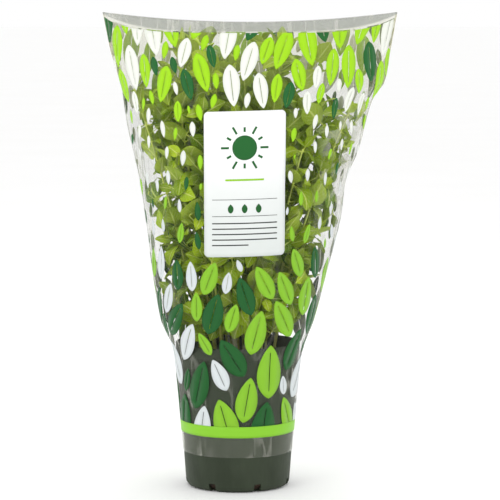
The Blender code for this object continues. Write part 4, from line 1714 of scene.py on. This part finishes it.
@dataclass
class LeafPrint:
    """A plain pattern of scattered leaves: large below, small and sparse in the middle, hanging above."""

    bottom: float = BAND_HIGH
    top: float = PRINT_TOP
    corner_rise: float = CORNER_RISE
    tries: int = 6000
    passes: tuple[float, ...] = (1.10, 0.84, 0.62, 0.46)
    lengths: Curve = (
        (0.056, 0.037), (0.120, 0.036), (0.165, 0.031), (0.200, 0.020), (0.225, 0.0105), (0.292, 0.0090),
        (0.318, 0.014), (0.340, 0.027), (0.385, 0.033),
    )
    slimness: Curve = ((0.056, 0.50), (0.180, 0.47), (0.225, 0.38), (0.300, 0.38), (0.345, 0.44), (0.385, 0.44))
    gaps: Curve = (
        (0.056, 0.0009), (0.165, 0.0014), (0.185, 0.0030), (0.215, 0.0085), (0.290, 0.0100),
        (0.318, 0.0050), (0.345, 0.0011), (0.385, 0.0006),
    )
    tilts: Curve = ((0.056, 0.75), (0.190, 0.55), (0.230, 0.20), (0.300, 0.20), (0.385, 0.45))
    whites: Curve = ((0.056, 0.33), (0.180, 0.32), (0.240, 0.56), (0.300, 0.60), (0.345, 0.26), (0.385, 0.22))
    limes: Curve = ((0.056, 0.40), (0.200, 0.34), (0.250, 0.22), (0.320, 0.42), (0.385, 0.52))
    swells: int = 8
    swell: float = 1.04
    reach: float = 0.045
    overlap: float = 0.0005  # that a leaf's covering discs may have with the free place
    spill: float = 0.004
    hanging_from: float = 0.25
    length_range: Pair = (0.88, 1.10)
    width_range: Pair = (0.9, 1.1)
    weld_gap: float = 0.0006
    probe: float = 0.004
    large_length: float = 0.016
    proud: float = 0.00015

    def is_clear(self, motif: Motif, others: Sequence[Motif], keep_out: Box) -> bool:
        """Whether a leaf keeps its gap to the others of its sheet and stays off the free place.

        Args:
            motif: The leaf.
            others: The others.
            keep_out: Left, right, bottom and top of the place that stays free, across and up.

        Returns:
            True when it is clear.
        """
        left, right, low, high = keep_out
        points, sizes = motif.discs()
        nearest = np.stack([points[:, 0].clip(left, right), points[:, 1].clip(low, high)], axis=1)
        if (np.linalg.norm(points - nearest, axis=1) < sizes - self.overlap).any():
            return False
        near = [
            other.discs() for other in others
            if abs(other.height - motif.height) < self.reach and abs(other.across - motif.across) < self.reach
        ]
        if not near:
            return True
        centres, radii = (np.concatenate(part) for part in zip(*near))
        gaps = np.linalg.norm(points[:, None] - centres[None], axis=2) - sizes[:, None] - radii[None]
        return bool(gaps.min() >= straight(self.gaps, motif.height))

    def scatter(self, sheet: FilmSheet, side: Side, seed: int, keep_out: Box) -> list[Motif]:
        """Leaves of one sheet, each clear of the others and grown a little into the room round it.

        Args:
            sheet: The film they lie on.
            side: The sheet.
            seed: Start of the random draws.
            keep_out: Left, right, bottom and top of the place that stays free, across and up.

        Returns:
            The leaves.
        """
        draw = random.Random(seed)
        motifs: list[Motif] = []
        for size in (size for size in self.passes for _ in range(self.tries)):
            height = draw.uniform(self.bottom - self.spill, self.top + self.corner_rise)
            across = draw.uniform(-1.0, 1.0) * sheet.reach(height) - sheet.drift(side, height)
            length = straight(self.lengths, height) * size * draw.uniform(*self.length_range)
            width = length * straight(self.slimness, height) * draw.uniform(*self.width_range)
            heading = draw.uniform(-1.0, 1.0) * straight(self.tilts, height)
            heading += math.pi * (height > self.hanging_from)
            choice, white = draw.random(), straight(self.whites, height)
            lime = white + straight(self.limes, height)
            ink = Ink.WHITE if choice < white else Ink.LIME if choice < lime else Ink.GREEN
            motif = Motif(across, height, length, width, heading, ink)
            if self.is_clear(motif, motifs, keep_out):
                motifs.append(motif)
        for index, motif in enumerate(motifs):
            others = motifs[:index] + motifs[index + 1:]
            for _ in range(self.swells):
                larger = replace(motif, length=motif.length * self.swell, width=motif.width * self.swell)
                if not self.is_clear(larger, others, keep_out):
                    break
                motif = motifs[index] = larger
        return motifs

    def trimmed(self, motif: Motif, unit: bpy.types.Mesh, sheet: FilmSheet, side: Side) -> bmesh.types.BMesh:
        """One flat leaf in its place, cut off at the print's edges and at the welds."""
        flat = bmesh.new()
        flat.from_mesh(unit)
        bmesh.ops.transform(flat, matrix=motif.matrix(), verts=flat.verts[:])
        reach = sheet.reach(self.top)
        share = abs(motif.across) / reach
        edge = self.top + self.corner_rise * share**4
        slope = 4 * self.corner_rise * share**3 / reach * math.copysign(1.0, motif.across)
        clip(flat, (motif.across, edge, 0.0), (-slope, 1.0, 0.0))
        clip(flat, (0.0, self.bottom, 0.0), (0.0, -1.0, 0.0))
        for sign in (-1.0, 1.0):
            low, weld, high = (
                sign * (sheet.reach(level) - self.weld_gap) - sheet.drift(side, level)
                for level in (motif.height - self.probe, motif.height, motif.height + self.probe)
            )
            clip(flat, (weld, motif.height, 0.0), (sign, sign * (low - high) / (2 * self.probe), 0.0))
        bmesh.ops.triangulate(flat, faces=flat.faces[:])
        return flat

    def build(
        self, sheet: FilmSheet, side: Side, seed: int, keep_out: Box, palette: Palette
    ) -> list[bpy.types.Object]:
        """One piece for each ink of a sheet's pattern."""
        units = {large: leaf_motif(large) for large in (True, False)}
        layers = {ink: bmesh.new() for ink in (Ink.LIME, Ink.GREEN, Ink.WHITE)}
        motifs = self.scatter(sheet, side, seed, keep_out)
        for motif in motifs:
            flat = self.trimmed(motif, units[motif.length > self.large_length], sheet, side)
            add_shape(layers[motif.ink], flat)
        pieces = []
        for ink, layer in layers.items():
            sheet.lay(layer, side, self.proud)
            name = f"print_{ink.name.lower()}_{side.name.lower()}"
            pieces.append(inked(name, layer, ink, palette))
        log.info("%d printed leaves on the %s", len(motifs), side.name.lower())
        return pieces


def inked(name: str, layer: bmesh.types.BMesh, ink: Ink, palette: Palette) -> bpy.types.Object:
    """Piece of ink that lies on the film.

    Args:
        name: The piece's name.
        layer: Its outer face, in place.
        ink: The ink.
        palette: The materials.

    Returns:
        The piece.
    """
    piece = piece_from(name, layer, [palette.of(ink.value)])
    wall = piece.modifiers.new("thickness", "SOLIDIFY")
    wall.thickness = INK_THICKNESS
    wall.offset = -1.0
    return piece


@dataclass(frozen=True)
class CarePanel:
    """The white panel on the front, with plain pictograms and rules."""

    left: float = -0.0345
    right: float = 0.0337
    turn: float = 0.028
    bottom: float = 0.2000
    top: float = 0.3194
    corner: float = 0.0038
    pitch: float = 0.004
    proud: float = 0.00014
    mark_proud: float = 0.00024
    margin: float = 0.007
    sun_height: float = 0.2895
    sun_radius: float = 0.0195
    rays: int = 12
    bar: Box = (0.016, 0.2625, 0.2640, 0.0007)  # half width, bottom, top, corner
    rules: Pair = (0.2470, 0.2333)
    rule_width: float = 0.0004
    drop_height: float = 0.2398
    drop_pitch: float = 0.0115
    drop_size: float = 0.0038
    lines: int = 5
    first_line: float = 0.2272
    line_pitch: float = 0.0045
    line_width: float = 0.0009
    last_shorter: float = 0.024

    def keep_out(self) -> Box:
        """Left, right, bottom and top of the panel with a margin."""
        margin = 2 * MM
        return self.left - margin, self.right + margin, self.bottom - margin, self.top + margin

    def laid(self, shape: bmesh.types.BMesh, sheet: FilmSheet, proud: float) -> bmesh.types.BMesh:
        """A flat shape cut into small faces, turned with the panel and laid on the front of the film."""
        self.grid(shape)
        middle = Vector(((self.left + self.right) / 2, (self.bottom + self.top) / 2, 0.0))
        bmesh.ops.rotate(shape, cent=middle, matrix=Matrix.Rotation(self.turn, 3, "Z"), verts=shape.verts[:])
        sheet.lay(shape, Side.FRONT, proud)
        return shape

    def grid(self, shape: bmesh.types.BMesh) -> None:
        """Cut a flat shape into small faces, so that it can follow the film."""
        for axis in (0, 1):
            low = min(vertex.co[axis] for vertex in shape.verts)
            high = max(vertex.co[axis] for vertex in shape.verts)
            count = int((high - low) / self.pitch)
            bisect_at(shape, [low + (high - low) * step / (count + 1) for step in range(1, count + 1)], axis)
        bmesh.ops.triangulate(shape, faces=shape.faces[:])

    def oblong(self, left: float, right: float, bottom: float, top: float, corner: float = 0.0) -> bmesh.types.BMesh:
        """Flat oblong, with rounded corners if a corner is given."""
        shape = bmesh.new()
        size = Matrix.Diagonal(((right - left) / 2, (top - bottom) / 2, 1.0, 1.0))
        place = Matrix.Translation(((left + right) / 2, (bottom + top) / 2, 0.0))
        bmesh.ops.create_grid(shape, x_segments=1, y_segments=1, size=1.0, matrix=place @ size)
        if corner:
            bmesh.ops.bevel(
                shape, geom=shape.verts[:], offset=corner, affect="VERTICES", segments=6, profile=0.5,
                material=-1,
            )
        return shape

    def disc(self, x: float, y: float, radius: float) -> bmesh.types.BMesh:
        """Flat disc."""
        shape = outline_disc(40)
        place = Matrix.Translation((x, y, 0.0)) @ Matrix.Scale(radius, 4)
        bmesh.ops.transform(shape, matrix=place, verts=shape.verts[:])
        return shape

    def drop(self, x: float, y: float, size: float) -> bmesh.types.BMesh:
        """Flat water drop, pointed at its top."""
        shape = outline_disc(28)
        for vertex in shape.verts:
            across, up, _ = vertex.co
            narrow = 1.0 - 0.55 * max(up, 0.0) ** 1.5
            vertex.co = (x + across * size * 0.62 * narrow * (1 - max(up, 0.0) ** 6), y + up * size, 0.0)
        return shape

    def sun(self, x: float, y: float, radius: float) -> list[bmesh.types.BMesh]:
        """Flat sun: a disc with long and short rays."""
        shapes = [self.disc(x, y, radius * 0.52)]
        for ray in range(self.rays):
            turn = Matrix.Translation((x, y, 0.0)) @ Matrix.Rotation(math.tau * ray / self.rays, 4, "Z")
            blade = self.oblong(-radius * 0.045, radius * 0.045, radius * 0.66, radius * (1.0 if ray % 2 else 0.86))
            bmesh.ops.transform(blade, matrix=turn, verts=blade.verts[:])
            shapes.append(blade)
        return shapes

    def marks(self) -> dict[Ink, list[bmesh.types.BMesh]]:
        """Flat marks of the panel, by ink."""
        middle = (self.left + self.right) / 2
        left, right = self.left + self.margin, self.right - self.margin
        green = self.sun(middle, self.sun_height, self.sun_radius)
        for place in (-1, 0, 1):
            green.append(self.drop(middle + place * self.drop_pitch, self.drop_height, self.drop_size))
        dark = [self.oblong(left, right, level, level + self.rule_width) for level in self.rules]
        for row in range(self.lines):
            shorter = self.last_shorter if row == self.lines - 1 else 0.0
            level = self.first_line - row * self.line_pitch
            dark.append(self.oblong(left, right - shorter, level, level + self.line_width))
        half_bar, bottom, top, corner = self.bar
        lime = [self.oblong(middle - half_bar, middle + half_bar, bottom, top, corner)]
        return {Ink.GREEN: green, Ink.DARK: dark, Ink.LIME: lime}

    def build(self, sheet: FilmSheet, palette: Palette) -> list[bpy.types.Object]:
        """The panel and its marks, on the front of the film."""
        panel = self.oblong(self.left, self.right, self.bottom, self.top, self.corner)
        panel = self.laid(panel, sheet, self.proud)
        pieces = [inked("panel_white", panel, Ink.PANEL, palette)]
        for ink, shapes in self.marks().items():
            layer = bmesh.new()
            for shape in shapes:
                add_shape(layer, self.laid(shape, sheet, self.mark_proud))
            pieces.append(inked(f"panel_marks_{ink.name.lower()}", layer, ink, palette))
        return pieces


@dataclass
class Sleeve:
    """The clear film sleeve, with its print."""

    form: SleeveForm = field(default_factory=SleeveForm)
    leaf_print: LeafPrint = field(default_factory=LeafPrint)
    panel: CarePanel = field(default_factory=CarePanel)
    sides: int = 192
    rings: int = 150
    thickness: float = 0.00015
    seeds: tuple[int, int] = (41, 87)  # of the print's random draws, front and back

    def tube(self, low: float, high: float, rings: int) -> bmesh.types.BMesh:
        """Open tube on the dressed film's outer face, between two heights."""
        tube = bmesh.new()
        bmesh.ops.create_cone(
            tube, cap_ends=False, segments=self.sides, radius1=1.0, radius2=1.0, depth=high - low,
            matrix=Matrix.Translation((0.0, 0.0, (high + low) / 2)),
        )
        upright = [edge for edge in tube.edges if abs(edge.verts[0].co.z - edge.verts[1].co.z) > MM]
        bmesh.ops.subdivide_edges(tube, edges=upright, cuts=rings - 1, use_grid_fill=True)
        span = self.form.top - self.form.foot
        for vertex in tube.verts:
            angle = math.atan2(vertex.co.y, vertex.co.x)
            share = (vertex.co.z - self.form.foot) / span
            point = self.form.skin(angle, vertex.co.z)
            point.z -= self.form.mouth_sag * math.sin(angle) ** 2 * max(share - 0.92, 0.0) / 0.08
            vertex.co = point
        bmesh.ops.recalc_face_normals(tube, faces=tube.faces[:])
        return tube

    def build(self, palette: Palette) -> list[bpy.types.Object]:
        """The film, in place of the frame's sleeve, and everything printed on it."""
        film = self.tube(self.form.foot, self.form.top, self.rings)
        sheet = FilmSheet(self.form, film)
        piece = piece_from("film_sleeve", film, [palette.of(FilmFinish())], ["sleeve"], 80.0)
        wall = piece.modifiers.new("wall", "SOLIDIFY")
        wall.thickness = self.thickness
        wall.offset = -1.0
        pieces = [piece]
        band = self.tube(BAND_LOW, BAND_HIGH, 4)
        for vertex in band.verts:
            outward = Vector((vertex.co.x, vertex.co.y, 0.0)).normalized()
            vertex.co += outward * self.leaf_print.proud
        pieces.append(inked("print_band", band, Ink.BAND, palette))
        nowhere = (0.0, 0.0, 0.0, 0.0)
        for side, seed, keep_out in zip(Side, self.seeds, (self.panel.keep_out(), nowhere)):
            pieces += self.leaf_print.build(sheet, side, seed, keep_out, palette)
        pieces += self.panel.build(sheet, palette)
        return pieces


# studio


@dataclass(frozen=True)
class FloorFinish(Finish):
    """Pale studio floor."""

    name: str = "studio_floor"
    colour: str = "fbfbfa"
    light: str = "ffffff"
    roughness: float = 0.9

    def build(self) -> bpy.types.Material:
        """Material of the floor."""
        material, sketch, shader = self.sketch()
        mottle, _ = self.grain(sketch, 3.0)
        sketch.feed(shader, {
            "Base Color": sketch.mix(mottle, self.colour, self.light),
            "Roughness": self.roughness,
        })
        return material


@dataclass(frozen=True)
class Lamp:
    """One soft area light."""

    name: str
    place: tuple[float, float, float]
    size: float
    power: float

    def build(self, target: Vector) -> None:
        """Add the light, turned to a target."""
        data = bpy.data.lights.new(self.name, "AREA")
        data.shape = "SQUARE"
        data.size = self.size
        data.energy = self.power
        lamp = bpy.data.objects.new(self.name, data)
        lamp.location = self.place
        lamp.rotation_euler = (target - Vector(self.place)).to_track_quat("-Z", "Y").to_euler()
        bpy.context.scene.collection.objects.link(lamp)


@dataclass(frozen=True)
class Studio:
    """Floor, lights and the camera at the photograph's viewing angle."""

    camera_place: tuple[float, float, float] = (0.0104, -2.050, 0.400)
    camera_target: tuple[float, float, float] = (0.0104, 0.0, 0.1995)
    lens: float = 175.78
    sensor: float = 36.0
    floor_size: float = 120.0
    sky: float = 1.0
    lamps: tuple[Lamp, ...] = (
        Lamp("key_left", (-1.5, -1.7, 1.5), 1.2, 9.0),
        Lamp("fill_right", (1.7, -1.4, 1.0), 1.4, 3.0),
        Lamp("top", (0.1, 0.5, 1.9), 1.2, 6.0),
    )

    def build(self, palette: Palette) -> None:
        """Set up the studio."""
        scene = bpy.context.scene
        shape = bmesh.new()
        bmesh.ops.create_grid(shape, x_segments=1, y_segments=1, size=self.floor_size / 2)
        mesh = bpy.data.meshes.new("floor")
        shape.to_mesh(mesh)
        shape.free()
        mesh.materials.append(palette.of(FloorFinish()))
        floor = bpy.data.objects.new("floor", mesh)
        floor.location.z = -0.0002
        scene.collection.objects.link(floor)
        target = Vector((0.0, 0.0, 0.2))
        for lamp in self.lamps:
            lamp.build(target)
        world = bpy.data.worlds.new("studio")
        world.use_nodes = True
        background = world.node_tree.nodes["Background"]
        background.inputs["Color"].default_value = (1.0, 1.0, 1.0, 1.0)
        background.inputs["Strength"].default_value = self.sky
        scene.world = world
        scene.view_settings.view_transform = "Standard"
        data = bpy.data.cameras.new("camera")
        data.lens = self.lens
        data.sensor_width = self.sensor
        camera = bpy.data.objects.new("camera", data)
        camera.location = self.camera_place
        heading = Vector(self.camera_target) - Vector(self.camera_place)
        camera.rotation_euler = heading.to_track_quat("-Z", "Y").to_euler()
        scene.collection.objects.link(camera)
        scene.camera = camera


def main() -> None:
    """Build the dressed plant and its studio."""
    logging.basicConfig(level=logging.INFO, format="%(message)s", stream=sys.stdout)
    palette = Palette()
    Studio().build(palette)
    pot, compost, sleeve = Pot(), Compost(), Sleeve()
    pieces = [pot.build(palette), compost.build(pot, palette)]
    pieces += Plant(sleeve.form, compost).build(palette)
    pieces += sleeve.build(palette)
    for piece in pieces:
        report(piece)


if __name__ == "__main__":
    main()
